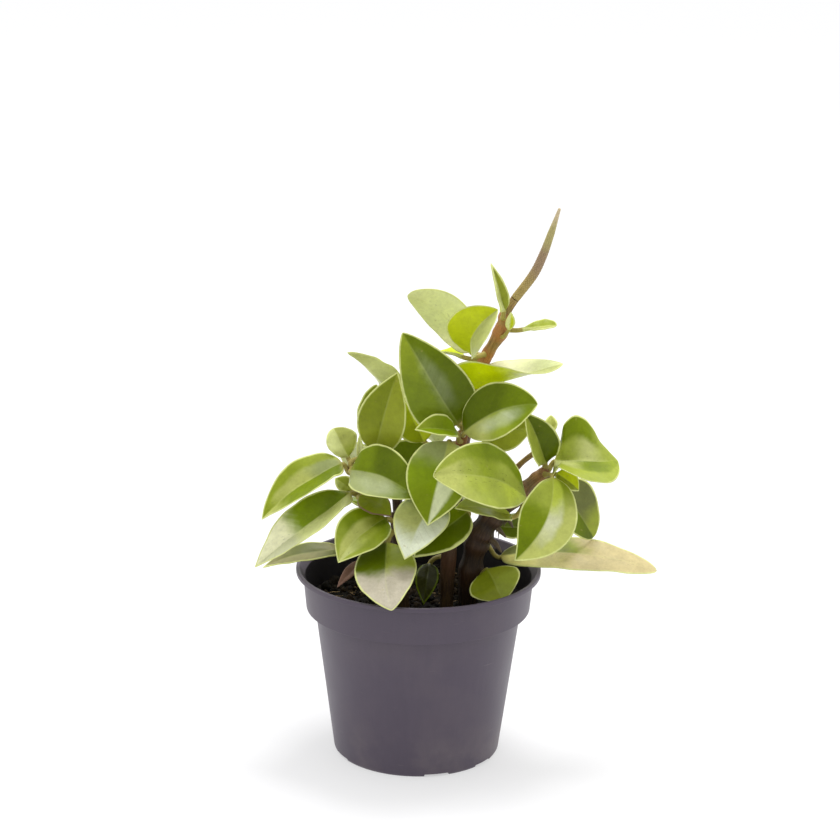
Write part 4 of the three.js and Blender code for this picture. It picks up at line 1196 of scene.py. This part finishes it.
class Blade:
    """The middle surface of one leaf and the stalk that carries it, in millimetres."""

    def __init__(self, leaf):
        shape = dict(LEAF_DEFAULTS, **leaf)
        self.base = np.array(shape["base"], float)
        chord = np.array(shape["tip"], float) - self.base
        self.length = float(np.linalg.norm(chord))
        self.chord = chord / self.length
        self.face = across(np.array(shape["face"], float), self.chord)
        self.side = np.cross(self.chord, self.face)
        self.arch = shape["arch"] * self.length
        self.sway = shape["sway"] * self.length
        self.power = math.log(0.5) / math.log(shape["belly"])
        self.rounds = (shape["base_round"], shape["tip_round"])
        tip_fold = shape["fold"] if shape["fold_tip"] is None else shape["fold_tip"]
        self.folds = (math.radians(shape["fold"]), math.radians(tip_fold))
        self.curl = math.radians(shape["curl"])
        self.twist = math.radians(shape["twist"])
        self.width = shape["width"]
        self.thick = shape["thick"]
        self.stalk = shape["stalk"]

    def middle(self, t):
        bow = 4 * t * (1 - t)
        straight = self.base + self.chord * (self.length * t)
        return straight + self.face * (self.arch * bow) + self.side * (self.sway * bow)

    def directions(self, t):
        slope = 4 * (1 - 2 * t)
        tangent = self.chord * self.length + self.face * (self.arch * slope)
        tangent = unit(tangent + self.side * (self.sway * slope))
        up = across(self.face, tangent)
        side = np.cross(tangent, up)
        turn = self.twist * (t - 0.5)
        turned_up = up * math.cos(turn) + side * math.sin(turn)
        return tangent, turned_up, side * math.cos(turn) - up * math.sin(turn)

    def half_width(self, t):
        arc = max(math.sin(math.pi * min(max(t, 0), 1) ** self.power), 0)
        half = self.width / 2 * arc ** blend(*self.rounds, t)
        return max(half, self.stalk) if t < 0.9 else half


def section_places():
    """Places across a leaf, from margin to margin over the top and back underneath."""
    top = list(SECTION) + [-u for u in SECTION[-2::-1]]
    places = top + top[-2:0:-1]
    upper = [1.0] * len(top) + [-1.0] * (len(top) - 2)
    upper[0] = 0.0
    upper[len(top) - 1] = 0.0
    return np.array(places), np.array(upper)


def stalk_start(leaf):
    """Where a leaf's stalk leaves its stem, and in which direction."""
    stem = STEMS[leaf["stem"]]
    centre, tangent = curve_at(stem["path"], leaf["at"])
    if leaf["at"] >= 1:
        return centre + tangent * STALK_GAP, tangent
    out = np.array(leaf["out"], float) if "out" in leaf else np.array(leaf["base"]) - centre
    out = across(out, tangent)
    return centre + out * (step_values(stem["radius"], leaf["at"]) + STALK_GAP), out


def stalk_rings(leaf, blade, places, upper):
    """The stalk's end point under the bark, its rings up to the foot of the blade and their marks."""
    start, out = stalk_start(leaf)
    base = blade.middle(0)
    tangent, _, base_side = blade.directions(0)
    span = np.linalg.norm(base - start)
    pull = span * 0.9
    reach = np.abs(places)
    roundness = np.sqrt(np.maximum(0, 1 - reach**2)) * np.where(upper < 0, -1, 1)
    start = start - out * STALK_GAP
    rings, marks = [], []
    for i in range(-1, STALK_RINGS):
        t = max(i, 0) / STALK_RINGS
        point, forward = hermite(start, out * pull, base, tangent * pull, t)
        if i < 0:
            point = start - out * STALK_ROOT
        side = across(base_side, forward)
        lift = np.cross(side, forward)
        flare = 1 + STALK_FLARE * math.exp(-t * span / STALK_FLARE_LENGTH)
        radius = blade.stalk * STALK_TAPER * flare
        rings.append(point + radius * (np.outer(places, side) + np.outer(roundness, lift)))
        marks.append(np.column_stack([places * radius, np.full_like(places, t - 1), reach * 0 + 3]))
    return start - out * (STALK_ROOT + 0.1), rings, marks


class Unevenness:
    """The waves of one leaf's margin and the ripples of its blade."""

    def __init__(self, look, random):
        self.look = look
        self.phases = random.uniform(0, 2 * math.pi, 8)
        self.paces = random.uniform(0.8, 1.4, 4)
        self.bow = random.uniform(-1, 1, 2)[0] * 0.02

    def lift(self, t, places):
        reach, sign = np.abs(places), np.sign(places)
        phases, paces = self.phases, self.paces
        wave = np.sin(phases[0] + sign * phases[1] + t * 2 * math.pi * 2.3 * paces[0])
        wave = wave + 0.5 * np.sin(phases[2] + sign * phases[3] + t * 2 * math.pi * 4.1 * paces[1])
        ripple = np.sin(phases[4] + t * 9 * paces[2] + places * 2.2)
        ripple = ripple + 0.6 * np.sin(phases[5] + t * 15 * paces[3] - places * 4.1)
        return self.look["edge_wave"] * wave * reach**3 + self.look["ripple"] * ripple * (1 - 0.4 * reach)


def blade_skin(blade, look, t, places, upper, grown):
    """Height of a leaf's skin over its middle surface, with the midrib's groove and keel."""
    reach = np.abs(places)
    depth = blend(blade.stalk * STALK_TAPER, blade.thick / 2 * (1 - 0.45 * t), grown)
    depth = depth * min(1, (1 - t) / 0.06 + 0.25)
    skin = depth * np.maximum(0, 1 - reach ** blend(2, 3.4, grown)) ** 0.5
    distance = blade.half_width(t) * reach
    groove = look["groove"] * np.exp(-((distance / 0.75) ** 2)) * grown * (1 - 0.75 * t)
    keel = look["keel"] * np.exp(-((distance / 0.7) ** 2)) * grown * (1 - 0.8 * t)
    skin = np.where(upper > 0, skin - np.minimum(groove, depth * 0.7), -skin - keel)
    return np.where(upper == 0, 0, skin)


def blade_ring(blade, look, unevenness, t, places, upper):
    """One ring of points round the blade, t of the way to its tip."""
    reach, sign = np.abs(places), np.sign(places)
    _, up, side = blade.directions(t)
    half = blade.half_width(t)
    swell = min(1, t / FOLD_START)
    grown = min(1, t / BLADE_START)
    fold = blend(*blade.folds, t) * swell
    curl = blade.curl * swell + 1e-4
    bent = np.sqrt(reach**2 + MIDRIB_EASE**2) - MIDRIB_EASE
    slope = fold + curl * bent
    outward = half * (np.sin(slope) - math.sin(fold)) / curl
    outward = outward * np.where(bent > 1e-9, reach / np.maximum(bent, 1e-9), 1)
    rise = half * (math.cos(fold) - np.cos(slope)) / curl
    lean = -np.sin(slope) * sign * np.minimum(1, reach / 0.1)
    skin = blade_skin(blade, look, t, places, upper, grown)
    size = min(1, half / 7)
    lift = unevenness.lift(t, places) * size * grown * min(1, (1 - t) / 0.1)
    bow = unevenness.bow * math.sin(2 * math.pi * t) * half
    shift = (sign * outward + lean * skin + bow)[:, None] * side
    lifted = rise + np.cos(slope) * skin + lift
    return blade.middle(t) + shift + lifted[:, None] * up


def leaf_shape(leaf, look, random):
    """Points, faces and attributes of one leaf with its stalk."""
    blade = Blade(leaf)
    places, upper = section_places()
    start, rings, marks = stalk_rings(leaf, blade, places, upper)
    unevenness = Unevenness(look, random)
    for j in range(BLADE_RINGS):
        t = BLADE_END * (1 - math.cos(math.pi * j / (BLADE_RINGS - 1))) / 2
        half = blade.half_width(t)
        inward = half * (1 - np.abs(places))
        rings.append(blade_ring(blade, look, unevenness, t, places, upper))
        marks.append(np.column_stack([places * half, np.full_like(places, t), inward]))
    points, faces = loft(rings, start, blade.middle(1.0))
    marks = np.vstack(marks + [[[0, -1, 3]], [[0, 1, 0]]])
    upper = np.concatenate([np.tile(upper, len(rings)), [0, 0]])
    return points, faces, {"blade": marks, "upper": upper}


# ---------------------------------------------------------------- stems and spike


SPIKE = "flower_spike"
SPIKE_STEM = "stem_tall"  # the flower spike goes on from this stem
SPIKE_GAP = 0.55  # how far that stem reaches past its end to meet the spike
ROOTED_STEM = "stem_right"
ROOTLETS = 2  # on each air root
STEM_BARKS = {"stem_right": "Old bark", "stem_right_fork": "Fork bark"}  # the rest have stem bark
STEM_STEPS = 14  # rings between two points of a stem's path
BEAD_STEPS = 40  # the same on the beaded spike
BEADS_ROUND = 11  # beads in one ring of the spike
BEAD_ROW = 0.62  # height of one ring of beads
BEAD_RISE = 0.16  # height of a bead, over the spike's radius
JOINT_REACH = 2.6  # how far a stem swells to either side of a leaf


def stem_shape(name, look, random, sides=28, beads=False):
    """Points, faces and attributes of a stem that widens at its leaves."""
    stem = STEMS[name]
    path = stem["path"]
    joints = [leaf["at"] for leaf in LEAVES.values() if leaf["stem"] == name]
    steps = (BEAD_STEPS if beads else STEM_STEPS) * (len(path) - 1)
    angle = np.arange(sides) * 2 * math.pi / sides
    phases = random.uniform(0, 2 * math.pi, 6)
    side = None
    along = 0.0
    previous = None
    rings, grain, nearness, youth = [], [], [], []
    for i in range(steps + 1):
        t = i / steps
        point, tangent = curve_at(path, t)
        along += 0 if previous is None else float(np.linalg.norm(point - previous))
        previous = point
        if name == SPIKE_STEM:
            point = point + tangent * SPIKE_GAP * smooth_step(0.9, 1.0, t)
        side = across(np.array([1.0, 0.2, 0.0]) if side is None else side, tangent)
        other = np.cross(tangent, side)
        radius = step_values(stem["radius"], t)
        length_left = (1 - t) * along / max(t, 0.02)
        if beads:
            row = along / BEAD_ROW
            offset = math.pi / BEADS_ROUND * (math.floor(row) % 2)
            near = math.sin(math.pi * (row % 1)) * (0.5 + 0.5 * np.cos(BEADS_ROUND * (angle + offset)))
            swell = 0.9 + BEAD_RISE * near
        else:
            apart = [(t - at) * len(path) * 9 / JOINT_REACH for at in joints]
            near = max([math.exp(-(distance**2)) for distance in apart] + [0])
            ridge = 0.035 * np.sin(5 * angle + phases[0] + along * 0.05)
            ridge = ridge + 0.03 * np.sin(2 * angle + phases[1] + along * 0.11)
            knots = 0.03 * math.sin(along * 0.55 + phases[2]) + 0.02 * math.sin(along * 1.3 + phases[3])
            swell = 1 + ridge + knots + look.swelling * near
        cap = math.sqrt(max(0.0, 1 - (1 - min(1, length_left / max(radius, 0.1))) ** 2))
        cap = 1.0 if name == SPIKE_STEM else cap
        ring_radius = radius * swell * max(cap, 0.12)
        sideways, upright = np.cos(angle), np.sin(angle)
        spread = np.outer(sideways * ring_radius, side) + np.outer(upright * ring_radius, other)
        rings.append(point + spread)
        grain.append(np.column_stack([sideways * radius, upright * radius, angle * 0 + along]))
        nearness.append(near * np.ones(sides))
        youth.append(np.full(sides, t))
    points, faces = loft(rings, curve_at(path, 0)[0], curve_at(path, 1)[0])
    ends = [[0, 0, 0], [0, 0, along]]
    return points, faces, {
        "bark": np.vstack(grain + [ends]),
        "joint": np.concatenate([np.concatenate(nearness), [0, 0]]),
        "young": np.concatenate([np.concatenate(youth), [0, 1]]),
    }


def add_air_roots(shape, random):
    """The thick stem with its air roots and finer rootlets."""
    points, faces, marks = shape
    shapes = [(points, faces)]
    for path, radius in AIR_ROOTS:
        path = np.array(path, float)
        shapes.append(tube(path, (radius * 1.3, radius, radius * 0.75, radius * 0.3), 14, 14))
        for _ in range(ROOTLETS):
            start = path[1] + random.uniform(-0.4, 0.4, 3)
            bend = start + random.uniform(-1, 1, 3) * (1.2, 1.0, 1.2) + (0, -0.8, -1.2)
            end = bend + random.uniform(-1, 1, 3) * (1.0, 0.8, 1.0) + (0, -0.2, -1.6)
            shapes.append(tube((start, bend, end), (0.35, 0.26, 0.1), 8, 8))
    all_points, all_faces = join(shapes)
    extra = len(all_points) - len(points)
    grain = np.vstack([marks["bark"], all_points[len(points):] * 0.8])
    joint = np.concatenate([marks["joint"], np.zeros(extra)])
    young = np.concatenate([marks["young"], np.full(extra, 2.0)])
    return all_points, all_faces, {"bark": grain, "joint": joint, "young": young}


# ---------------------------------------------------------------- pot and soil


def arc_corner(before, corner, after, radius, steps=4):
    """Points that round one corner of a profile."""
    before, corner, after = (np.array(p, float) for p in (before, corner, after))
    into, out = unit(before - corner), unit(after - corner)
    room = min(np.linalg.norm(before - corner), np.linalg.norm(after - corner)) * 0.45
    cut = min(radius, room)
    start, end = corner + into * cut, corner + out * cut
    ramp = np.linspace(0, 1, steps)
    return [tuple(start * (1 - s) ** 2 + corner * 2 * s * (1 - s) + end * s * s) for s in ramp]


def rounded_profile(profile, radius):
    """A profile with its corners rounded, apart from its two ends."""
    points = [profile[0]]
    for before, corner, after in zip(profile, profile[1:], profile[2:]):
        points += arc_corner(before, corner, after, radius)
    return points + [profile[-1]]


def level_ring(radius, height, angle):
    """A ring of points about the pot's axis."""
    return np.column_stack([radius * np.cos(angle), radius * np.sin(angle), angle * 0 + height])


def turned(profile, facets):
    """A closed body turned about the pot's axis. The profile starts and ends on the axis."""
    angle = np.arange(facets) * 2 * math.pi / facets
    rings = [level_ring(radius, height, angle) for radius, height in profile[1:-1]]
    return loft(rings, (0, 0, profile[0][1]), (0, 0, profile[-1][1]))


def ring_block(inner, outer, middle_angle, width, bottom, top, steps=8):
    """A curved block between two radii, with its ends rounded in plan."""
    half = math.radians(width) / 2
    rings = []
    for i in range(steps + 1):
        share = 2 * i / steps - 1
        angle = math.radians(middle_angle) + half * share
        pinch = (outer - inner) * 0.12 * abs(share) ** 4
        direction = np.array([math.cos(angle), math.sin(angle), 0])
        rings.append([
            direction * (inner + pinch) + (0, 0, bottom),
            direction * outer + (0, 0, bottom),
            direction * outer + (0, 0, top),
            direction * (inner + pinch) + (0, 0, top),
        ])
    rings = np.array(rings)
    return loft(rings, rings[0].mean(axis=0), rings[-1].mean(axis=0))


def carve(body, tools, operation):
    """Adds or cuts away tool objects, and leaves no modifier behind."""
    for tool in tools:
        cut = body.modifiers.new(operation, "BOOLEAN")
        cut.operation = operation
        cut.solver = "EXACT"
        cut.object = tool
    settled = body.evaluated_get(bpy.context.evaluated_depsgraph_get())
    mesh = bpy.data.meshes.new_from_object(settled)
    body.modifiers.clear()
    old = body.data
    body.data = mesh
    bpy.data.meshes.remove(old)
    if not mesh.polygons:
        raise RuntimeError(f"Nothing is left of {body.name} after {operation}")
    for tool in tools:
        bpy.data.objects.remove(tool)


SHARP_EDGE = 38  # an edge of the pot is shaded sharp from this angle on


def build_pot(look):
    """The pot: a turned shell with humps inside its foot, and pockets and holes cut under them."""
    p = POT
    lip_bottom = p["height"] - p["lip_height"]
    inner_lip = p["lip_radius"] - p["lip_width"]
    outside = [
        (0, 0),
        (p["base_radius"] - 0.6, 0),
        (p["base_radius"], 1),
        (p["shoulder_radius"], p["shoulder_height"]),
        (p["collar_radius"], p["collar_height"]),
        (p["collar_top_radius"], lip_bottom - 0.2),
        (p["lip_radius"], lip_bottom),
        (p["lip_radius"], p["height"]),
    ]
    inside = [
        (inner_lip, p["height"]),
        (inner_lip - 0.4, p["height"] - 0.6),
        (p["collar_top_radius"] - p["wall"], lip_bottom - 1.2),
        (p["collar_radius"] - p["wall"], p["collar_height"] + 0.7),
        (p["shoulder_radius"] - p["wall"], p["shoulder_height"] + 0.1),
        (p["base_radius"] - p["wall"], p["floor"]),
        (0, p["floor"]),
    ]
    profile = rounded_profile(outside + inside, look.rounding / MM)
    body = plain_object("pot_shell", turned(profile, look.facets))
    inner_end = p["base_radius"] - DRAIN["depth"]
    roof_top = DRAIN["height"] + DRAIN["roof"]
    humps, pockets = [], []
    for i in range(DRAIN["count"]):
        angle = DRAIN["first_angle"] + 360 / DRAIN["count"] * i
        wide = DRAIN["width"] + DRAIN["hump_extra"]
        hump_end = inner_end - DRAIN["roof"]
        hump = ring_block(hump_end, p["base_radius"] - 0.4, angle, wide, 0.6, roof_top)
        pocket = ring_block(inner_end, p["base_radius"] + 2, angle, DRAIN["width"], -1, DRAIN["height"])
        reach = inner_end + DRAIN["depth"] / 2 - 0.4
        x, y = reach * math.cos(math.radians(angle)), reach * math.sin(math.radians(angle))
        hole = tube(((x, y, -1), (x, y, 2), (x, y, 5)), (DRAIN["hole_radius"],) * 2, 24, 2)
        humps.append(plain_object("hump", hump))
        pockets.append(plain_object("pocket", pocket))
        pockets.append(plain_object("hole", hole))
    carve(body, humps, "UNION")
    carve(body, pockets, "DIFFERENCE")
    body.data.shade_smooth()
    body.data.set_sharp_from_angle(angle=math.radians(SHARP_EDGE))
    body.data.materials.clear()
    body.data.materials.append(pot_material(look))
    place_piece(body, "pot")


def lump(random, size):
    """An uneven crumb, about as wide as its size."""
    ball = bmesh.new()
    bmesh.ops.create_icosphere(ball, subdivisions=2, radius=0.5)
    points = np.array([v.co[:] for v in ball.verts])
    faces = [tuple(v.index for v in face.verts) for face in ball.faces]
    ball.free()
    kinks = random.uniform(-1, 1, (5, 3))
    swell = sum(0.13 * np.sin(points @ kink * 9 + i) for i, kink in enumerate(kinks))
    points = points * (1 + swell)[:, None] * random.uniform(0.6, 1.25, 3) * size
    turn = np.array(Matrix.Rotation(random.uniform(0, 6.28), 3, Vector(random.uniform(-1, 1, 3))))
    return points @ turn.T, faces


def soil_height(x, y):
    """Height of the soil's slightly uneven top at a place."""
    slow = np.sin(x * 0.21 + 1) * np.cos(y * 0.17) * 0.6 + np.sin(x * 0.5 - y * 0.43) * 0.4
    fine = np.sin(x * 1.3 + y * 0.4) * np.sin(y * 1.1 - 0.8) * 0.35 + np.sin(x * 2.9 - y * 2.3) * 0.18
    return SOIL["top"] + SOIL["bump"] * slow + 0.5 * fine


SOIL_SIDES = 120
SOIL_RINGS = 44
WALL_GAP = 0.3  # between the soil and the pot
CRUMB_SIZES = (0.35, 2.3)  # the smallest and largest crumb, over the middling one
SOIL_FIBRES = 46
FIBRE_STEP = 1.3


def soil_spot(random, radius):
    """A random place on the soil, within a radius."""
    distance = radius * math.sqrt(random.uniform(0, 1))
    turn = random.uniform(0, 2 * math.pi)
    return distance * math.cos(turn), distance * math.sin(turn)


def soil_shape(look, random):
    """Points, faces and tones of the soil with its crumbs and fibres."""
    angle = np.arange(SOIL_SIDES) * 2 * math.pi / SOIL_SIDES
    wall = POT["base_radius"] - POT["wall"] - WALL_GAP
    shoulder = POT["shoulder_radius"] - POT["wall"] - WALL_GAP
    rim = SOIL["rim_radius"]
    rings = [
        level_ring(wall, SOIL["bottom"], angle),
        level_ring(shoulder, POT["shoulder_height"] + 0.4, angle),
        level_ring(rim - 0.2, POT["collar_height"] + 1.0, angle),
    ]
    for radius in np.linspace(rim, 0.7, SOIL_RINGS):
        x, y = radius * np.cos(angle), radius * np.sin(angle)
        rings.append(np.column_stack([x, y, soil_height(x, y)]))
    shapes = [loft(rings, (0, 0, SOIL["bottom"]), (0, 0, SOIL["top"]))]
    tones = [np.full(len(shapes[0][0]), 0.12)]
    size = look.crumb_size / MM
    for _ in range(look.crumbs):
        width = size * float(np.clip(random.lognormal(-0.1, 0.45), *CRUMB_SIZES))
        x, y = soil_spot(random, rim - 1.2 - width * 0.55)
        points, faces = lump(random, width)
        centre = (x, y, soil_height(x, y) + width * random.uniform(-0.12, 0.22))
        shapes.append((points + centre, faces))
        tones.append(np.full(len(points), random.uniform(0, 1) ** 1.6))
    for _ in range(SOIL_FIBRES):
        x, y = soil_spot(random, rim - 7)
        heading = random.uniform(0, 2 * math.pi)
        path = []
        for _ in range(5):
            path.append((x, y, soil_height(x, y) + random.uniform(0.3, 1.1)))
            heading += random.uniform(-0.8, 0.8)
            x, y = x + FIBRE_STEP * math.cos(heading), y + FIBRE_STEP * math.sin(heading)
        shapes.append(tube(path, (0.1, 0.2, 0.18, 0.06), 7, 14))
        tones.append(np.full(len(shapes[-1][0]), 2.0))
    points, faces = join(shapes)
    return points, faces, {"tone": np.concatenate(tones)}


# ---------------------------------------------------------------- operators

SEEDS = {"soil": 11, "stems": 100, "spike": 300, "leaves": 500}


class PEPEROMIA_OT_pot(bpy.types.Operator):
    """Turn the nursery pot with its rounded edges and drain pockets."""

    bl_idname = "peperomia.pot"
    bl_label = "Build Pot"

    def execute(self, context):
        build_pot(context.scene.peperomia_pot)
        return {"FINISHED"}


class PEPEROMIA_OT_soil(bpy.types.Operator):
    """Fill the pot with soil, crumbs and fine roots."""

    bl_idname = "peperomia.soil"
    bl_label = "Build Soil"

    def execute(self, context):
        look = context.scene.peperomia_soil
        points, faces, marks = soil_shape(look, np.random.default_rng(SEEDS["soil"]))
        piece = make_piece("soil_bed", "soil", (points, faces), marks)
        piece.data.materials.append(soil_material(look))
        return {"FINISHED"}


class PEPEROMIA_OT_stems(bpy.types.Operator):
    """Grow the stems, and the roots on the thick one."""

    bl_idname = "peperomia.stems"
    bl_label = "Build Stems"

    def execute(self, context):
        look = context.scene.peperomia_stems
        barks = {name: bark_material(name, look) for name in BARKS}
        for i, name in enumerate(stem for stem in STEMS if stem != SPIKE):
            random = np.random.default_rng(SEEDS["stems"] + i)
            shape = stem_shape(name, look, random)
            if name == ROOTED_STEM:
                shape = add_air_roots(shape, random)
            points, faces, marks = shape
            piece = make_piece(name + "_bark", name, (points, faces), marks)
            piece.data.materials.append(barks[STEM_BARKS.get(name, "Stem bark")])
        return {"FINISHED"}


class PEPEROMIA_OT_spike(bpy.types.Operator):
    """Grow the slender flower spike with its fine beads."""

    bl_idname = "peperomia.spike"
    bl_label = "Build Flower Spike"

    def execute(self, context):
        look = context.scene.peperomia_stems
        random = np.random.default_rng(SEEDS["spike"])
        points, faces, marks = stem_shape(SPIKE, look, random, 6 * BEADS_ROUND, beads=True)
        piece = make_piece(SPIKE + "_beads", SPIKE, (points, faces), marks)
        piece.data.materials.append(spike_material(look))
        return {"FINISHED"}


class PEPEROMIA_OT_leaves(bpy.types.Operator):
    """Grow the fleshy leaves with their stalks."""

    bl_idname = "peperomia.leaves"
    bl_label = "Build Leaves"

    def execute(self, context):
        look = context.scene.peperomia_leaves
        sizes = {key: getattr(look, key) / MM for key in ("groove", "keel", "ripple", "edge_wave")}
        for i, (name, leaf) in enumerate(LEAVES.items()):
            random = np.random.default_rng(SEEDS["leaves"] + i)
            points, faces, marks = leaf_shape(leaf, sizes, random)
            piece = make_piece(name + "_blade", name, (points, faces), marks)
            seed = tuple(float(value) for value in random.uniform(-1, 1, 3))
            length = math.dist(leaf["base"], leaf["tip"])
            piece.data.materials.append(leaf_material(name, leaf["paint"], length, seed, look))
        return {"FINISHED"}


class PEPEROMIA_OT_stage(bpy.types.Operator):
    """Lay the floor, hang the soft lamp and set up the camera."""

    bl_idname = "peperomia.stage"
    bl_label = "Build Stage"

    def execute(self, context):
        build_stage(context.scene, context.scene.peperomia_studio)
        return {"FINISHED"}


# The photograph's viewpoint, in metres and degrees.
CAMERA_PLACE = (0.0, -0.9, 0.3888)
CAMERA_DOWN = 16.244
CAMERA_TURN = -0.012
CAMERA_ROLL = 0.776
FLOOR_SIZE = 9.0
LAMP_PLACE = (0.12, 0.25, 1.15)
LAMP_AIM = (0, 0, 0.1)


def camera_matrix():
    """Where the camera stands and how it looks."""
    down, turn, roll = (math.radians(a) for a in (CAMERA_DOWN, CAMERA_TURN, CAMERA_ROLL))
    ahead = Vector((
        math.sin(turn) * math.cos(down), math.cos(turn) * math.cos(down), -math.sin(down)
    ))
    level = Vector((math.cos(turn), -math.sin(turn), 0))
    above = level.cross(ahead)
    right = level * math.cos(roll) + above * math.sin(roll)
    up = above * math.cos(roll) - level * math.sin(roll)
    matrix = Matrix((right, up, -ahead)).transposed().to_4x4()
    matrix.translation = Vector(CAMERA_PLACE)
    return matrix


def build_stage(scene, look):
    """The floor, the pale walls around, the lamp and the camera."""
    scene.view_settings.view_transform = "Standard"
    half = FLOOR_SIZE / 2
    mesh = bpy.data.meshes.new("floor")
    corners = [(-half, -half, 0), (half, -half, 0), (half, half, 0), (-half, half, 0)]
    mesh.from_pydata(corners, [], [(0, 1, 2, 3)])
    floor = bpy.data.objects.new("floor", mesh)
    scene.collection.objects.link(floor)
    mesh.materials.append(floor_material(look))

    world = bpy.data.worlds.new("Studio walls")
    scene.world = world
    world.use_nodes = True
    nodes = Nodes(world.node_tree)
    direction = nodes.parts(nodes.add("TexCoord", {}))
    bright = nodes.step(direction[1], -0.85, 0.1, look.front_shade, 1.0)
    bright = nodes.times(bright, nodes.step(direction[2], 0.1, 0.8, 1.0, look.ceiling))
    background = world.node_tree.nodes["Background"]
    nodes.put(background.inputs["Color"], nodes.brighten((1, 1, 1, 1), bright))
    background.inputs["Strength"].default_value = look.surroundings

    lamp = bpy.data.lights.new("Soft lamp", "AREA")
    lamp.shape = "RECTANGLE"
    lamp.size = look.lamp_width
    lamp.size_y = look.lamp_width
    lamp.energy = look.lamp_power
    holder = bpy.data.objects.new("Soft lamp", lamp)
    scene.collection.objects.link(holder)
    holder.location = LAMP_PLACE
    aim = Vector(LAMP_AIM) - holder.location
    holder.rotation_euler = aim.to_track_quat("-Z", "Y").to_euler()

    camera = bpy.data.cameras.new("Camera")
    camera.sensor_width = 36
    camera.lens = look.lens
    camera.clip_end = 40
    viewer = bpy.data.objects.new("Camera", camera)
    scene.collection.objects.link(viewer)
    viewer.matrix_world = camera_matrix()
    scene.camera = viewer


class PEPEROMIA_PT_panel(bpy.types.Panel):
    """The pieces of the plant and their looks."""

    bl_idname = "PEPEROMIA_PT_panel"
    bl_label = "Potted Peperomia"
    bl_space_type = "VIEW_3D"
    bl_region_type = "UI"
    bl_category = "Peperomia"

    def draw(self, context):
        for look, operators in PANEL_ROWS:
            box = self.layout.box()
            settings = getattr(context.scene, look)
            for key in settings.bl_rna.properties.keys():
                if key not in ("rna_type", "name"):
                    box.prop(settings, key)
            for operator in operators:
                box.operator(operator)


LOOKS = {
    "peperomia_pot": PotLook,
    "peperomia_soil": SoilLook,
    "peperomia_stems": StemLook,
    "peperomia_leaves": LeafLook,
    "peperomia_studio": StudioLook,
}

PANEL_ROWS = (
    ("peperomia_pot", ("peperomia.pot",)),
    ("peperomia_soil", ("peperomia.soil",)),
    ("peperomia_stems", ("peperomia.stems", "peperomia.spike")),
    ("peperomia_leaves", ("peperomia.leaves",)),
    ("peperomia_studio", ("peperomia.stage",)),
)

OPERATORS = (
    PEPEROMIA_OT_pot,
    PEPEROMIA_OT_soil,
    PEPEROMIA_OT_stems,
    PEPEROMIA_OT_spike,
    PEPEROMIA_OT_leaves,
    PEPEROMIA_OT_stage,
)


def register():
    for name, look in LOOKS.items():
        bpy.utils.register_class(look)
        setattr(bpy.types.Scene, name, bpy.props.PointerProperty(type=look))
    for kind in OPERATORS + (PEPEROMIA_PT_panel,):
        bpy.utils.register_class(kind)


def unregister():
    for kind in (PEPEROMIA_PT_panel,) + OPERATORS[::-1]:
        bpy.utils.unregister_class(kind)
    for name, look in LOOKS.items():
        delattr(bpy.types.Scene, name)
        bpy.utils.unregister_class(look)


def main():
    register()
    bpy.ops.peperomia.pot()
    bpy.ops.peperomia.soil()
    bpy.ops.peperomia.stems()
    bpy.ops.peperomia.spike()
    bpy.ops.peperomia.leaves()
    bpy.ops.peperomia.stage()


if __name__ == "__main__":
    main()
